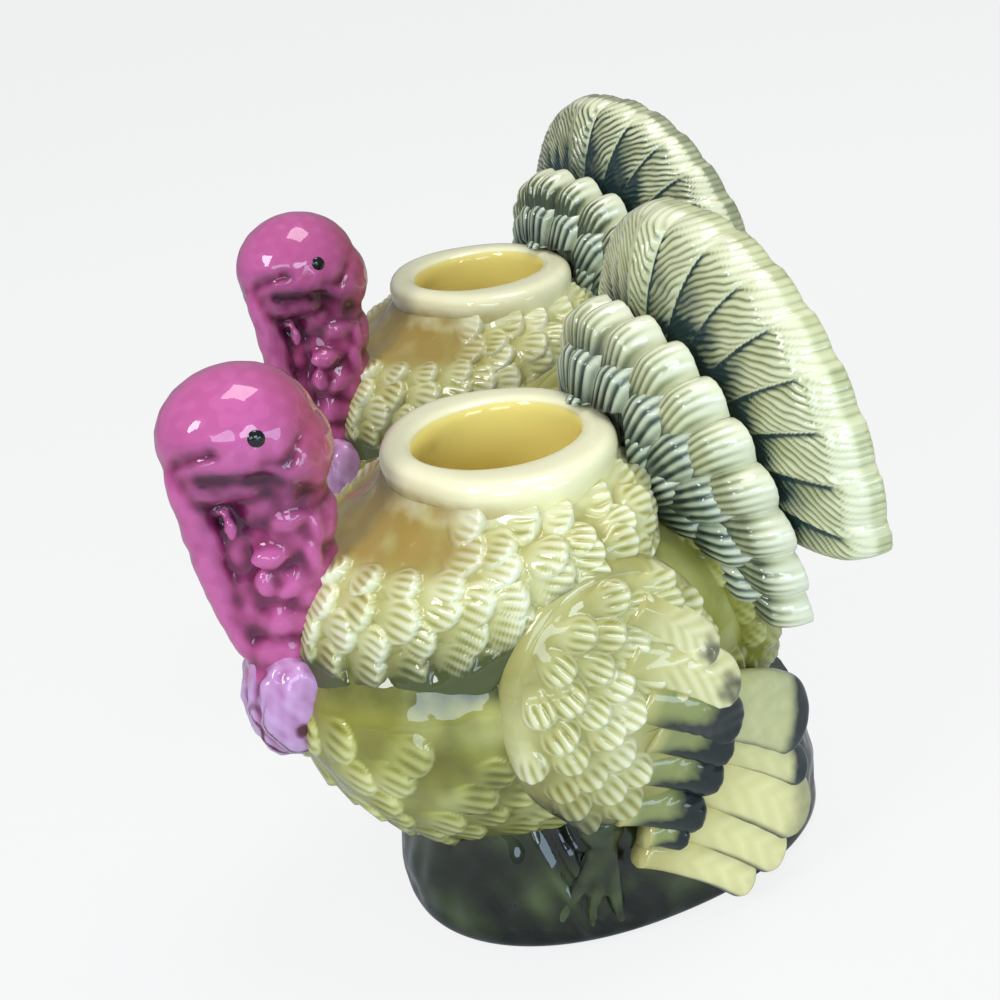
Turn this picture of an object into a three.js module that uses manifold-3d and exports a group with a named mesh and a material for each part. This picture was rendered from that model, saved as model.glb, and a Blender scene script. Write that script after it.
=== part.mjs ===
// A pair of glazed ceramic turkey candle holders, in millimetres with +Z up.
// Each bird faces -Y, and its origin is the middle of its flat foot. +X is the bird's left side.
import * as THREE from 'three';
import { mergeVertices } from 'three/addons/utils/BufferGeometryUtils.js';
import Module from 'manifold-3d';

const wasm = await Module();
wasm.setup();

const { lerp, clamp } = THREE.MathUtils;

// Driving dimensions of the casting
const clearance = 0.3;
const wall = 4;
const weldTolerance = 0.001;
const sharpestCosine = 0.45;

// Candle cup, for a taper candle
const cupY = -13;
const cupRimHeight = 69.5;
const cupBoreRadius = 11;
const cupDepth = 24;
const cupFloor = 3.5;
const cupHalfWidth = 18.3;
const cupHalfLength = 15.6;
const cupRimBand = 5.5;
const cupRimStep = 0.9;
const cupRimRound = 1.4;
const cupBoreTaper = 0.7;

// Foot
const footY = -4;
const footFront = 32;
const footBack = 33;
const footHeight = 22;
const footInset = 2;
const footFloor = 4;
const footEdgeRound = 4;
const footSquareness = 2.2;
const drainRadius = 6;
const drainY = 12;

// Body
const bodyBottom = 13.5;
const bodyHalfWidth = 26.5;
const footWidthShare = 0.883;
const footHalfWidth = bodyHalfWidth * footWidthShare;
const bodyY = -14;
const bodyFront = 34.5;
const bodyBack = 34;
const bodySquareness = 2.3;

// Mantle, the ruff of feathers between breast and cup
const mantleDrop = 4;
const mantleTop = cupRimHeight - mantleDrop;
const mantleFrontDrop = 26;
const mantleSideDrop = 10.5;
const bodyTopDrop = 7.5;
const bodyTop = mantleTop - bodyTopDrop;
const mantleTopRadius = 17;
const mantleWidthShare = 0.943;
const mantleHalfWidth = bodyHalfWidth * mantleWidthShare;
const mantleFrontReach = 31;
const mantleBackReach = 19;
const hemStartShare = 0.2;
const hemSpanShare = 0.75;

// Head and neck
const headSetback = 2.7;
const headY = bodyY - bodyFront + headSetback;
const headRise = 7.9;
const headZ = cupRimHeight + headRise;
const headHalfLength = 10.9;
const headHalfHeight = 10.3;
const headHalfWidth = 8.6;
const neckTopRadius = 8.2;
const neckSetback = 2.2;
const neckFootRadius = 4.6;
const neckLean = 0.2;
const neckFootY = headY - neckLean;
const neckFootDrop = 20.5;
const neckFootZ = mantleTop - neckFootDrop;
const neckSag = 0.8;
const snoodRadius = 2.2;
const snoodFootRadius = 1.8;
const beakLength = 8.5;
const beakRadius = 2.5;
const beakSpread = 1.7;
const beakDrop = 6.2;
const eyeRadius = 1.15;
const eyeProud = 0.35;
const eyeForward = 0;
const eyeRise = 3;
const wattleHalfHeight = 8;
const wattleHalfWidth = 7.5;
const wattleHalfDepth = 5;
const wattleSetback = -2.6;
const wattleDrop = 24.5;
const wattleZ = mantleTop - wattleDrop;

// Tail
const fanHubDrop = 1.5;
const fanHubZ = bodyTop - fanHubDrop;
const fanRadius = 37;
const fanRootY = 8.3;
const fanDish = 7;
const fanSweep = 7;
const fanSweepBend = 0.8;
const fanThickness = 5.5;
const fanFeathers = 17;
const fanHalfAngle = 101;
const fanInnerRadius = 20;
const tailWidthShare = 0.9;
const tierHubDrop = 5;
const tierHubZ = bodyTop - tierHubDrop;
const tierSweep = 8.5;
const tierSweepBend = 1.2;
const ringRadius = 29.5;
const ringRootY = 0.5;
const ringDish = 4;
const ringFeathers = 15;
const ringHalfAngle = 118;
const ringInnerRadius = 21;
const covertRadius = 24;
const covertRootY = -1.5;
const covertDish = 3.5;
const covertFeathers = 11;
const covertHalfAngle = 126;
const covertInnerRadius = 14;
const tierThickness = 5;
const featherCrown = 1.1;
const featherEdge = 1.8;

// Rump, which carries the tail
const rumpY = 13;
const rumpZ = 44;
const rumpWidthShare = 0.7925;
const rumpHalfWidth = bodyHalfWidth * rumpWidthShare;
const rumpHalfLength = 11;
const rumpHalfHeight = 25;

// Wings
const flankReach = 54;
const flankSquareness = 2.4;
const flankShare = 0.95;
const wingY = -11.5;
const wingHeightShare = 0.5955;
const wingZ = lerp(bodyBottom, bodyTop, wingHeightShare);
const wingHalfLength = 15.5;
const wingSpanShare = 0.427;
const wingHalfHeight = (bodyTop - bodyBottom) * wingSpanShare;
const wingRise = 3.4;
const wingSink = 9;
const plumesY = -16;
const plumesZ = 46;
const tipsRadius = 33;
const tipsInnerRadius = 14;
const tipsRise = 3.2;
const tipsFromAngle = 100;
const tipsToAngle = 170;
const primariesRadius = 51.5;
const primariesInnerRadius = 24;
const primariesRise = 1.6;
const primariesFromAngle = 104;
const primariesToAngle = 164;

// Length of each feather of a wing as a share of the longest, from the top one down
const tipShares = [0.68, 0.78, 0.84, 0.86, 0.92, 0.98];
const primaryShares = [0.66, 0.8, 0.9, 0.98, 1, 0.86];

// Legs
const legY = -14;
const legLeanAngle = 14;
const kneeHalfWidth = 4;
const kneeHalfLength = 5;
const kneeHalfHeight = 5;
const toeLength = 15;
const toeRadius = 1.8;
const toeSpreadAngle = 17;

// Second bird of the pair
const pairX = -73.1;
const pairY = 27.5;
const pairTurnAngle = 7.3;

// Counts of facets
const bodySides = 20;
const roundSides = 20;
const headSides = 14;
const smallSides = 12;
const tinySides = 8;
const toeSides = 6;
const stepsPerFeather = 3;

const glaze = (color, roughness = 0.12) => new THREE.MeshStandardMaterial({ color, roughness, metalness: 0 });
const creamGlaze = glaze('#efe9b4');
const oliveGlaze = glaze('#c3c277');
const tealGlaze = glaze('#53684f');
const mossGlaze = glaze('#3c4630');
const plumGlaze = glaze('#a8447c');
const blackEnamel = glaze('#0b0b0c', 0.2);

const radians = THREE.MathUtils.degToRad;
const point = (x, y, z) => new THREE.Vector3(x, y, z);
const smooth = (t) => t * t * (3 - 2 * t);

// A closed mesh as a solid: shared corners are welded and faces with no area left out
function solidFrom(geometry) {
  const bare = geometry.clone();
  for (const name of ['normal', 'uv']) bare.deleteAttribute(name);
  const merged = mergeVertices(bare, weldTolerance);
  const index = merged.index.array;
  const triVerts = [];
  for (let i = 0; i < index.length; i += 3) {
    const [a, b, c] = [index[i], index[i + 1], index[i + 2]];
    if (a !== b && b !== c && c !== a) triVerts.push(a, b, c);
  }
  const made = new wasm.Manifold(
    new wasm.Mesh({
      numProp: 3,
      vertProperties: merged.attributes.position.array,
      triVerts: new Uint32Array(triVerts),
    }),
  );
  return made;
}

function geometryFrom(solid) {
  const { vertProperties, triVerts, numProp } = solid.getMesh();
  const geometry = new THREE.BufferGeometry();
  const positions = new Float32Array((vertProperties.length / numProp) * 3);
  for (let i = 0; i < positions.length; i += 3) {
    for (let k = 0; k < 3; k += 1) positions[i + k] = vertProperties[(i / 3) * numProp + k];
  }
  geometry.setAttribute('position', new THREE.BufferAttribute(positions, 3));
  geometry.setIndex(new THREE.BufferAttribute(new Uint32Array(triVerts), 1));
  geometry.computeVertexNormals();
  return geometry;
}

// The same closed mesh with every face moved out by a distance, or in where it is negative
function grown(geometry, by) {
  const bare = geometry.clone();
  for (const name of ['normal', 'uv']) bare.deleteAttribute(name);
  const merged = mergeVertices(bare, weldTolerance);
  merged.computeVertexNormals();
  const { position, normal } = merged.attributes;
  const index = merged.index.array;
  const leastCosine = new Float32Array(position.count).fill(1);
  const [a, b, c, out] = [point(0, 0, 0), point(0, 0, 0), point(0, 0, 0), point(0, 0, 0)];
  for (let i = 0; i < index.length; i += 3) {
    a.fromBufferAttribute(position, index[i]);
    b.fromBufferAttribute(position, index[i + 1]).sub(a);
    c.fromBufferAttribute(position, index[i + 2]).sub(a);
    b.cross(c).normalize();
    for (let k = 0; k < 3; k += 1) {
      out.fromBufferAttribute(normal, index[i + k]);
      leastCosine[index[i + k]] = Math.min(leastCosine[index[i + k]], out.dot(b));
    }
  }
  for (let i = 0; i < position.count; i += 1) {
    const distance = by / clamp(leastCosine[i], sharpestCosine, 1);
    out.fromBufferAttribute(normal, i);
    a.fromBufferAttribute(position, i).addScaledVector(out, distance);
    position.setXYZ(i, a.x, a.y, a.z);
  }
  return merged;
}

// A closed mesh through rings of points, with a fan over each end
function loft(rings) {
  const sides = rings[0].length;
  const positions = [];
  for (const ring of rings) for (const p of ring) positions.push(p.x, p.y, p.z);
  const middle = (ring) => ring.reduce((sum, p) => sum.add(p), point(0, 0, 0)).divideScalar(sides);
  for (const ring of [rings[0], rings[rings.length - 1]]) positions.push(...middle(ring).toArray());
  const first = rings.length * sides;
  const faces = [];
  for (let r = 0; r + 1 < rings.length; r += 1) {
    for (let s = 0; s < sides; s += 1) {
      const [a, b] = [r * sides + s, r * sides + ((s + 1) % sides)];
      faces.push(a, b, b + sides, a, b + sides, a + sides);
    }
  }
  const last = (rings.length - 1) * sides;
  for (let s = 0; s < sides; s += 1) {
    const next = (s + 1) % sides;
    faces.push(first, next, s, first + 1, last + s, last + next);
  }
  const geometry = new THREE.BufferGeometry();
  geometry.setAttribute('position', new THREE.Float32BufferAttribute(positions, 3));
  geometry.setIndex(faces);
  return facingOut(geometry);
}

// Six times the volume that a mesh encloses, negative where its faces point in
function signedVolume(geometry) {
  const { position } = geometry.attributes;
  const index = geometry.index.array;
  const [a, b, c] = [point(0, 0, 0), point(0, 0, 0), point(0, 0, 0)];
  let sum = 0;
  for (let i = 0; i < index.length; i += 3) {
    a.fromBufferAttribute(position, index[i]);
    b.fromBufferAttribute(position, index[i + 1]);
    c.fromBufferAttribute(position, index[i + 2]);
    sum += a.dot(b.cross(c));
  }
  return sum;
}

function facingOut(geometry) {
  if (signedVolume(geometry) < 0) geometry.index.array.reverse();
  return geometry;
}

// The bird's other side: every place mirrored across X = 0
function mirrored(geometry) {
  const other = geometry.clone();
  const { position } = other.attributes;
  for (let i = 0; i < position.count; i += 1) position.setX(i, -position.getX(i));
  other.index.array.reverse();
  return other;
}

// A closed ball pressed to three half sizes and then shaped point by point
function ball(centre, halves, sides, shape = (p) => p) {
  const rings = [];
  const levels = Math.max(5, Math.round(sides / 2));
  for (let level = 1; level < levels; level += 1) {
    const rise = -Math.PI / 2 + (Math.PI * level) / levels;
    const ring = [];
    for (let s = 0; s < sides; s += 1) {
      const turn = (2 * Math.PI * s) / sides;
      const unit = point(Math.cos(rise) * Math.cos(turn), Math.cos(rise) * Math.sin(turn), Math.sin(rise));
      ring.push(shape(unit).multiply(halves).add(centre));
    }
    rings.push(ring);
  }
  return loft(rings);
}

// A tapering rod with round ends along a curve, flattened across X where flat is under 1
function rod(points, radii, sides, flat = 1) {
  const curve = new THREE.CatmullRomCurve3(points);
  const steps = 2 * points.length;
  const rings = [];
  for (let step = 0; step <= steps; step += 1) {
    const t = step / steps;
    const along = t * (radii.length - 1);
    const k = Math.min(Math.floor(along), radii.length - 2);
    const endShare = Math.min(1, (Math.min(step, steps - step) + 0.6) / 1.6);
    const radius = lerp(radii[k], radii[k + 1], along - k) * Math.sqrt(1 - (1 - endShare) ** 2);
    const middle = curve.getPointAt(t);
    const tangent = curve.getTangentAt(t);
    const side = point(1, 0, 0).addScaledVector(tangent, -tangent.x).normalize();
    const up = tangent.clone().cross(side);
    const ring = [];
    for (let s = 0; s < sides; s += 1) {
      const turn = (2 * Math.PI * s) / sides;
      ring.push(
        middle
          .clone()
          .addScaledVector(side, radius * flat * Math.cos(turn))
          .addScaledVector(up, radius * Math.sin(turn)),
      );
    }
    rings.push(ring);
  }
  return loft(rings);
}

// Feathers side by side round a hub, as one plate. place(angle, radius, proud) puts a point of the
// plate in the bird, where proud is measured out of the plate.
function plumage({ place, from, to, inner, outer, shares, crown, thickness, endShare }) {
  const steps = shares.length * stepsPerFeather;
  const rings = [];
  for (let step = 0; step <= steps; step += 1) {
    const angle = radians(lerp(from, to, step / steps));
    const f = (step % stepsPerFeather) / stepsPerFeather;
    const hump = 1 - (2 * f - 1) ** 2;
    const next = Math.min(Math.floor(step / stepsPerFeather), shares.length - 1);
    const last = Math.max(Math.ceil(step / stepsPerFeather) - 1, 0);
    const reach = (outer * (shares[next] + shares[last])) / 2;
    const closeness = Math.min(1, (Math.min(step, steps - step) + 1) / stepsPerFeather);
    const ends = Math.sqrt(1 - (1 - closeness) ** 2);
    const radius = lerp(inner, reach, lerp(endShare, 1, ends)) - featherEdge * (1 - hump);
    const rise = crown * hump;
    const shoulder = radius - featherEdge;
    rings.push([
      place(angle, inner, -thickness),
      place(angle, inner, 0),
      place(angle, lerp(inner, shoulder, 0.6), rise),
      place(angle, shoulder, rise),
      place(angle, radius, rise - featherEdge),
      place(angle, radius, featherEdge - thickness),
      place(angle, shoulder, -thickness),
    ]);
  }
  return loft(rings);
}

// Half width of the body, its reach and its height as shares of the body's own sizes, foot to back
const bodyLevelShares = [
  [0.0, 0.36, 0.4],
  [0.07, 0.58, 0.6],
  [0.19, 0.77, 0.78],
  [0.34, 0.91, 0.92],
  [0.52, 1.0, 1.0],
  [0.72, 0.96, 0.95],
  [0.88, 0.78, 0.78],
  [1.0, 0.48, 0.5],
];

function bodyGeometry() {
  const rings = bodyLevelShares.map(([heightShare, widthShare, reachShare]) => {
    const z = lerp(bodyBottom, bodyTop, heightShare);
    const [front, back] = [bodyFront * reachShare, bodyBack * reachShare];
    return oval(bodyHalfWidth * widthShare, front, back, bodyY, z, bodySquareness, bodySides);
  });
  return loft(rings);
}

// How far the flank, which the wings lie on, stands out from the middle at a place on it
function flankAt(y, z) {
  const heightShare = clamp((z - bodyBottom) / (bodyTop - bodyBottom), 0, 1);
  const after = clamp(bodyLevelShares.findIndex((row) => row[0] >= heightShare), 1, bodyLevelShares.length - 1);
  const [low, high] = [bodyLevelShares[after - 1], bodyLevelShares[after]];
  const share = lerp(low[1], high[1], (heightShare - low[0]) / (high[0] - low[0]));
  const inside = 1 - Math.min(1, Math.abs(y - bodyY) / flankReach) ** flankSquareness;
  return bodyHalfWidth * Math.max(share, flankShare) * inside ** (1 / flankSquareness);
}

// The cup's outside, filled, as an oval turned shape
function cupPlugGeometry() {
  const arc = [0, 0.5, 1].map((t) => {
    const turn = (t * Math.PI) / 2;
    const radius = cupHalfLength - cupRimRound * (1 - Math.cos(turn));
    return new THREE.Vector2(radius, cupRimHeight - cupRimRound * (1 - Math.sin(turn)));
  });
  const bottom = cupRimHeight - cupDepth - cupFloor;
  const neck = cupHalfLength - cupRimStep;
  const outline = [
    new THREE.Vector2(0, bottom),
    new THREE.Vector2(neck - cupRimRound, bottom),
    new THREE.Vector2(neck, bottom + cupRimRound),
    new THREE.Vector2(neck, cupRimHeight - cupRimBand),
    new THREE.Vector2(cupHalfLength, cupRimHeight - cupRimBand + cupRimRound),
    ...arc,
    new THREE.Vector2(0, cupRimHeight),
  ];
  const plug = turned(outline, roundSides);
  plug.scale(cupHalfWidth / cupHalfLength, 1, 1);
  plug.translate(0, cupY, 0);
  return plug;
}

// The candle's hole, a little wider at its mouth
function cupBoreGeometry() {
  const floor = cupRimHeight - cupDepth;
  const lip = cupRimHeight - cupRimRound;
  const outline = [
    new THREE.Vector2(0, floor),
    new THREE.Vector2(cupBoreRadius - cupBoreTaper, floor),
    new THREE.Vector2(cupBoreRadius, lip),
    new THREE.Vector2(cupBoreRadius + cupRimRound / 3, lip + (cupRimRound * 2) / 3),
    new THREE.Vector2(cupBoreRadius + cupRimRound, cupRimHeight),
    new THREE.Vector2(cupBoreRadius + cupRimRound, cupRimHeight + wall),
    new THREE.Vector2(0, cupRimHeight + wall),
  ];
  const bore = turned(outline, roundSides);
  bore.translate(0, cupY, 0);
  return bore;
}

function turned(outline, sides) {
  const geometry = new THREE.LatheGeometry(outline, sides);
  geometry.rotateX(Math.PI / 2);
  for (const name of ['normal', 'uv']) geometry.deleteAttribute(name);
  return facingOut(mergeVertices(geometry, weldTolerance));
}

// A level ring with its own reach to the front and to the back
function oval(halfWidth, front, back, y, z, squareness, sides) {
  const ring = [];
  for (let s = 0; s < sides; s += 1) {
    const turn = (2 * Math.PI * s) / sides;
    const [c, d] = [Math.cos(turn), Math.sin(turn)];
    const reach = d < 0 ? front : back;
    const across = Math.sign(c) * Math.abs(c) ** (2 / squareness);
    const along = Math.sign(d) * Math.abs(d) ** (2 / squareness);
    ring.push(point(halfWidth * across, y + reach * along, z));
  }
  return ring;
}

function footBlock(levels) {
  return loft(
    levels.map(([z, inset]) =>
      oval(footHalfWidth - inset, footFront - inset, footBack - inset, footY, z, footSquareness, bodySides),
    ),
  );
}

const footGeometry = () =>
  footBlock([
    [0, footEdgeRound],
    [footEdgeRound / 4, footEdgeRound / 3],
    [footEdgeRound, 0],
    [footHeight, footInset],
  ]);
const footHollow = () =>
  footBlock([
    [footFloor, footEdgeRound + wall],
    [footFloor + footEdgeRound, wall],
    [footHeight + wall, footInset + wall],
  ]);

function drainGeometry() {
  const top = footHeight + wall * 2;
  return loft([-wall, top].map((z) => oval(drainRadius, drainRadius, drainRadius, drainY, z, 2, smallSides)));
}

// The mantle's hem runs low over the breast and high at the sides
function mantleGeometry() {
  const rings = [];
  const levels = [
    [0, 0.93],
    [0.12, 1],
    [0.4, 0.97],
    [0.7, 0.82],
    [0.9, 0.35],
    [1, 0],
  ];
  for (const [rise, spread] of levels) {
    const ring = [];
    for (let s = 0; s < bodySides; s += 1) {
      const turn = (2 * Math.PI * s) / bodySides;
      const [c, d] = [Math.cos(turn), Math.sin(turn)];
      const frontShare = smooth(clamp((-d - hemStartShare) / hemSpanShare, 0, 1));
      const hem = mantleTop - lerp(mantleSideDrop, mantleFrontDrop, frontShare);
      const reach = d < 0 ? mantleFrontReach : mantleBackReach;
      const wide = point(mantleHalfWidth * c, reach * d, 0);
      const narrow = point(mantleTopRadius * c, mantleTopRadius * d, 0);
      const p = narrow.lerp(wide, spread);
      ring.push(point(p.x, cupY + p.y, lerp(hem, mantleTop, rise)));
    }
    rings.push(ring);
  }
  return loft(rings);
}

const headCentre = point(0, headY, headZ);
const headShape = (p) => point(p.x * (1 - 0.12 * p.z), p.y * (1 - 0.08 * p.z * p.z), p.z);
const headGeometry = () =>
  ball(headCentre, point(headHalfWidth, headHalfLength, headHalfHeight), headSides, headShape);

// The neck narrows from the head down to the breast
function neckGeometry() {
  const top = headCentre.clone().add(point(0, neckSetback, -headHalfHeight / 2));
  const foot = point(0, neckFootY, neckFootZ);
  const middle = top.clone().lerp(foot, 0.5).add(point(0, neckSag, 0));
  return rod([top, middle, foot], [neckTopRadius, neckTopRadius * 0.92, neckFootRadius], smallSides, 0.86);
}

// Way of the snood from the forehead to the wattle, forward as a share of half the head's length
// and down as a share of the drop from the head to the foot of the neck
const snoodPathShares = [
  [0.82, 0.04],
  [0.78, 0.17],
  [0.68, 0.35],
  [0.55, 0.58],
  [0.42, 0.8],
  [0.32, 0.92],
];

function snoodGeometry() {
  const drop = headZ - neckFootZ;
  const path = snoodPathShares.map(([forward, down]) =>
    headCentre.clone().add(point(0, -headHalfLength * forward, -drop * down)),
  );
  return rod(path, [snoodRadius, snoodRadius, snoodRadius, snoodFootRadius], tinySides);
}

function beakGeometry() {
  const root = headCentre.clone().add(point(0, 0, -beakDrop));
  const bend = root.clone().add(point(0, -beakLength * 0.7, -beakRadius / 2));
  const tip = root.clone().add(point(0, -beakLength, -beakRadius * 1.6));
  return rod([root, bend, tip], [beakRadius * 1.5, beakRadius * 1.2, beakRadius / 3], tinySides, beakSpread);
}

function eyeGeometry() {
  const [up, along] = [eyeRise, -eyeForward];
  const level = Math.sqrt(1 - (up / headHalfHeight) ** 2 - (along / headHalfLength) ** 2);
  const centre = headCentre.clone().add(point(headHalfWidth * level - eyeProud, along, up));
  return ball(centre, point(eyeProud * 3, eyeRadius, eyeRadius), smallSides);
}

function wattleGeometry() {
  const centre = point(0, neckFootY + wattleSetback, wattleZ);
  const halves = point(wattleHalfWidth, wattleHalfDepth, wattleHalfHeight);
  return ball(centre, halves, smallSides, (p) => point(p.x * (1 - 0.15 * p.z), p.y, p.z));
}

const rumpGeometry = () =>
  ball(
    point(0, rumpY, rumpZ),
    point(rumpHalfWidth, rumpHalfLength, rumpHalfHeight),
    headSides,
  );

// One tier of the tail, swept back towards its sides and curling back towards its edge
function tailTier({ hubZ, radius, inner, rootY, dish, sweep, bend, feathers, halfAngle, thickness }) {
  const quarter = radians(90);
  const place = (angle, r, proud) => {
    const t = clamp((r - inner) / (radius - inner), 0, 1);
    const y = rootY + sweep * (Math.abs(angle) / quarter) ** bend + dish * (1 - Math.sqrt(1 - t * t)) - proud;
    return point(tailWidthShare * r * Math.sin(angle), y, hubZ + r * Math.cos(angle));
  };
  return plumage({
    place,
    from: -halfAngle,
    to: halfAngle,
    inner,
    outer: radius,
    shares: Array(feathers).fill(1),
    crown: featherCrown,
    thickness,
    endShare: 0.6,
  });
}

const fanGeometry = () =>
  tailTier({
    hubZ: fanHubZ,
    radius: fanRadius,
    inner: fanInnerRadius,
    rootY: fanRootY,
    dish: fanDish,
    sweep: fanSweep,
    bend: fanSweepBend,
    feathers: fanFeathers,
    halfAngle: fanHalfAngle,
    thickness: fanThickness,
  });
const ringGeometry = () =>
  tailTier({
    hubZ: tierHubZ,
    radius: ringRadius,
    inner: ringInnerRadius,
    rootY: ringRootY,
    dish: ringDish,
    sweep: tierSweep,
    bend: tierSweepBend,
    feathers: ringFeathers,
    halfAngle: ringHalfAngle,
    thickness: tierThickness,
  });
const covertGeometry = () =>
  tailTier({
    hubZ: tierHubZ,
    radius: covertRadius,
    inner: covertInnerRadius,
    rootY: covertRootY,
    dish: covertDish,
    sweep: tierSweep,
    bend: tierSweepBend,
    feathers: covertFeathers,
    halfAngle: covertHalfAngle,
    thickness: tierThickness,
  });

// The shoulder of the left wing, a low dome on the body's side
function wingGeometry() {
  const rings = [];
  const levels = [
    [1, -wingSink],
    [1, 0],
    [0.93, wingRise * 0.5],
    [0.75, wingRise * 0.85],
    [0.4, wingRise],
  ];
  for (const [size, proud] of levels) {
    const ring = [];
    for (let s = 0; s < roundSides; s += 1) {
      const turn = (2 * Math.PI * s) / roundSides;
      const y = wingY + wingHalfLength * size * Math.cos(turn);
      const z = wingZ + wingHalfHeight * size * Math.sin(turn);
      ring.push(point(flankAt(y, z) + proud, y, z));
    }
    rings.push(ring);
  }
  return loft(rings);
}

// Long feathers on the flank that point back and down from the wing
function wingPlumage({ inner, outer, shares, rise, from, to }) {
  const place = (angle, r, proud) => {
    const [y, z] = [plumesY + r * Math.sin(angle), plumesZ + r * Math.cos(angle)];
    return point(flankAt(y, z) + rise + proud, y, z);
  };
  return plumage({ place, from, to, inner, outer, shares, crown: featherCrown, thickness: wingSink, endShare: 0.8 });
}

const tipsGeometry = () =>
  wingPlumage({
    inner: tipsInnerRadius,
    outer: tipsRadius,
    shares: tipShares,
    rise: tipsRise - featherCrown,
    from: tipsFromAngle,
    to: tipsToAngle,
  });
const primariesGeometry = () =>
  wingPlumage({
    inner: primariesInnerRadius,
    outer: primariesRadius,
    shares: primaryShares,
    rise: primariesRise - featherCrown,
    from: primariesFromAngle,
    to: primariesToAngle,
  });

// A leg in relief on the foot: a knee just under the body and toes that spread below it
const kneeCentre = point(footHalfWidth - kneeHalfWidth, legY, footHeight - kneeHalfHeight / 2);
const kneeGeometry = () => ball(kneeCentre, point(kneeHalfWidth, kneeHalfLength, kneeHalfHeight), tinySides);

function toeGeometry(turn) {
  const onFoot = (share) => {
    const y = legY - toeLength * share * Math.sin(radians(turn));
    const z = footHeight - kneeHalfHeight - toeLength * share * Math.cos(radians(turn));
    const reach = y < footY ? footFront : footBack;
    const inside = 1 - (Math.abs(y - footY) / reach) ** footSquareness;
    return point(footHalfWidth * inside ** (1 / footSquareness) - toeRadius / 2, y, z);
  };
  return rod([0, 0.5, 1].map(onFoot), [toeRadius, toeRadius, toeRadius / 2], toeSides);
}

// Pieces of one bird, in the order in which each is trimmed by those before it
function birdPieces() {
  const drain = solidFrom(drainGeometry());
  const cup = solidFrom(cupPlugGeometry()).subtract(solidFrom(cupBoreGeometry()));
  const toes = [-toeSpreadAngle, 0, toeSpreadAngle].map((turn) => toeGeometry(legLeanAngle + turn));
  const leg = [kneeGeometry(), ...toes];
  const wing = wingGeometry();
  const tips = tipsGeometry();
  const primaries = primariesGeometry();
  const eye = eyeGeometry();
  return [
    { name: 'candle_cup', geometry: cupPlugGeometry(), solid: cup, glaze: creamGlaze },
    { name: 'body', geometry: bodyGeometry(), glaze: oliveGlaze },
    { name: 'mantle', geometry: mantleGeometry(), glaze: creamGlaze },
    { name: 'foot', geometry: footGeometry(), bore: drain.add(solidFrom(footHollow())), glaze: mossGlaze },
    { name: 'rump', geometry: rumpGeometry(), glaze: oliveGlaze },
    { name: 'tail_coverts', geometry: covertGeometry(), glaze: tealGlaze },
    { name: 'tail_ring', geometry: ringGeometry(), glaze: creamGlaze },
    { name: 'tail_fan', geometry: fanGeometry(), glaze: oliveGlaze },
    { name: 'head', geometry: headGeometry(), glaze: plumGlaze },
    { name: 'neck', geometry: neckGeometry(), glaze: plumGlaze },
    { name: 'snood', geometry: snoodGeometry(), glaze: plumGlaze },
    { name: 'beak', geometry: beakGeometry(), glaze: plumGlaze },
    { name: 'wattle', geometry: wattleGeometry(), glaze: plumGlaze },
    { name: 'left_eye', geometry: eye, glaze: blackEnamel },
    { name: 'right_eye', geometry: mirrored(eye), glaze: blackEnamel },
    { name: 'left_wing', geometry: wing, glaze: oliveGlaze },
    { name: 'right_wing', geometry: mirrored(wing), glaze: oliveGlaze },
    { name: 'left_wing_tips', geometry: tips, glaze: tealGlaze },
    { name: 'right_wing_tips', geometry: mirrored(tips), glaze: tealGlaze },
    { name: 'left_primaries', geometry: primaries, glaze: creamGlaze },
    { name: 'right_primaries', geometry: mirrored(primaries), glaze: creamGlaze },
    { name: 'left_leg', parts: leg, glaze: mossGlaze },
    { name: 'right_leg', parts: leg.map(mirrored), glaze: mossGlaze },
  ];
}

// The largest of the bodies that a cut leaves
function largest(solid) {
  const bodies = solid.decompose();
  return bodies.reduce((most, body) => (body.volume() > most.volume() ? body : most));
}

const joined = (solids) => solids.reduce((sum, solid) => sum.add(solid));

// Each piece is cut by every piece before it, grown by the clearance, so that none overlap
function trimmed(pieces) {
  const done = [];
  let taken = null;
  for (const piece of pieces) {
    const parts = piece.parts ?? [piece.geometry];
    let solid = piece.solid ?? joined(parts.map(solidFrom));
    if (piece.bore) solid = solid.subtract(piece.bore);
    if (taken && !piece.solid) solid = largest(solid.subtract(taken));
    const claims = parts.map((part) => solidFrom(grown(part, clearance)));
    taken = joined([...(taken ? [taken] : []), ...claims]);
    done.push({ name: piece.name, glaze: piece.glaze, geometry: geometryFrom(solid) });
  }
  return done;
}

function bird(name, pieces) {
  const group = new THREE.Group();
  for (const piece of pieces) {
    const mesh = new THREE.Mesh(piece.geometry, piece.glaze);
    mesh.name = `${name}_${piece.name}`;
    group.add(mesh);
  }
  return group;
}

const pieces = trimmed(birdPieces());
const pair = new THREE.Group();
const front = bird('front', pieces);
const rear = bird('rear', pieces);
rear.position.set(pairX, pairY, 0);
rear.rotation.z = radians(pairTurnAngle);
pair.add(front, rear);

export default pair;
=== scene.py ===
import math

import bmesh
import bpy
import numpy as np
from mathutils import Matrix


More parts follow.
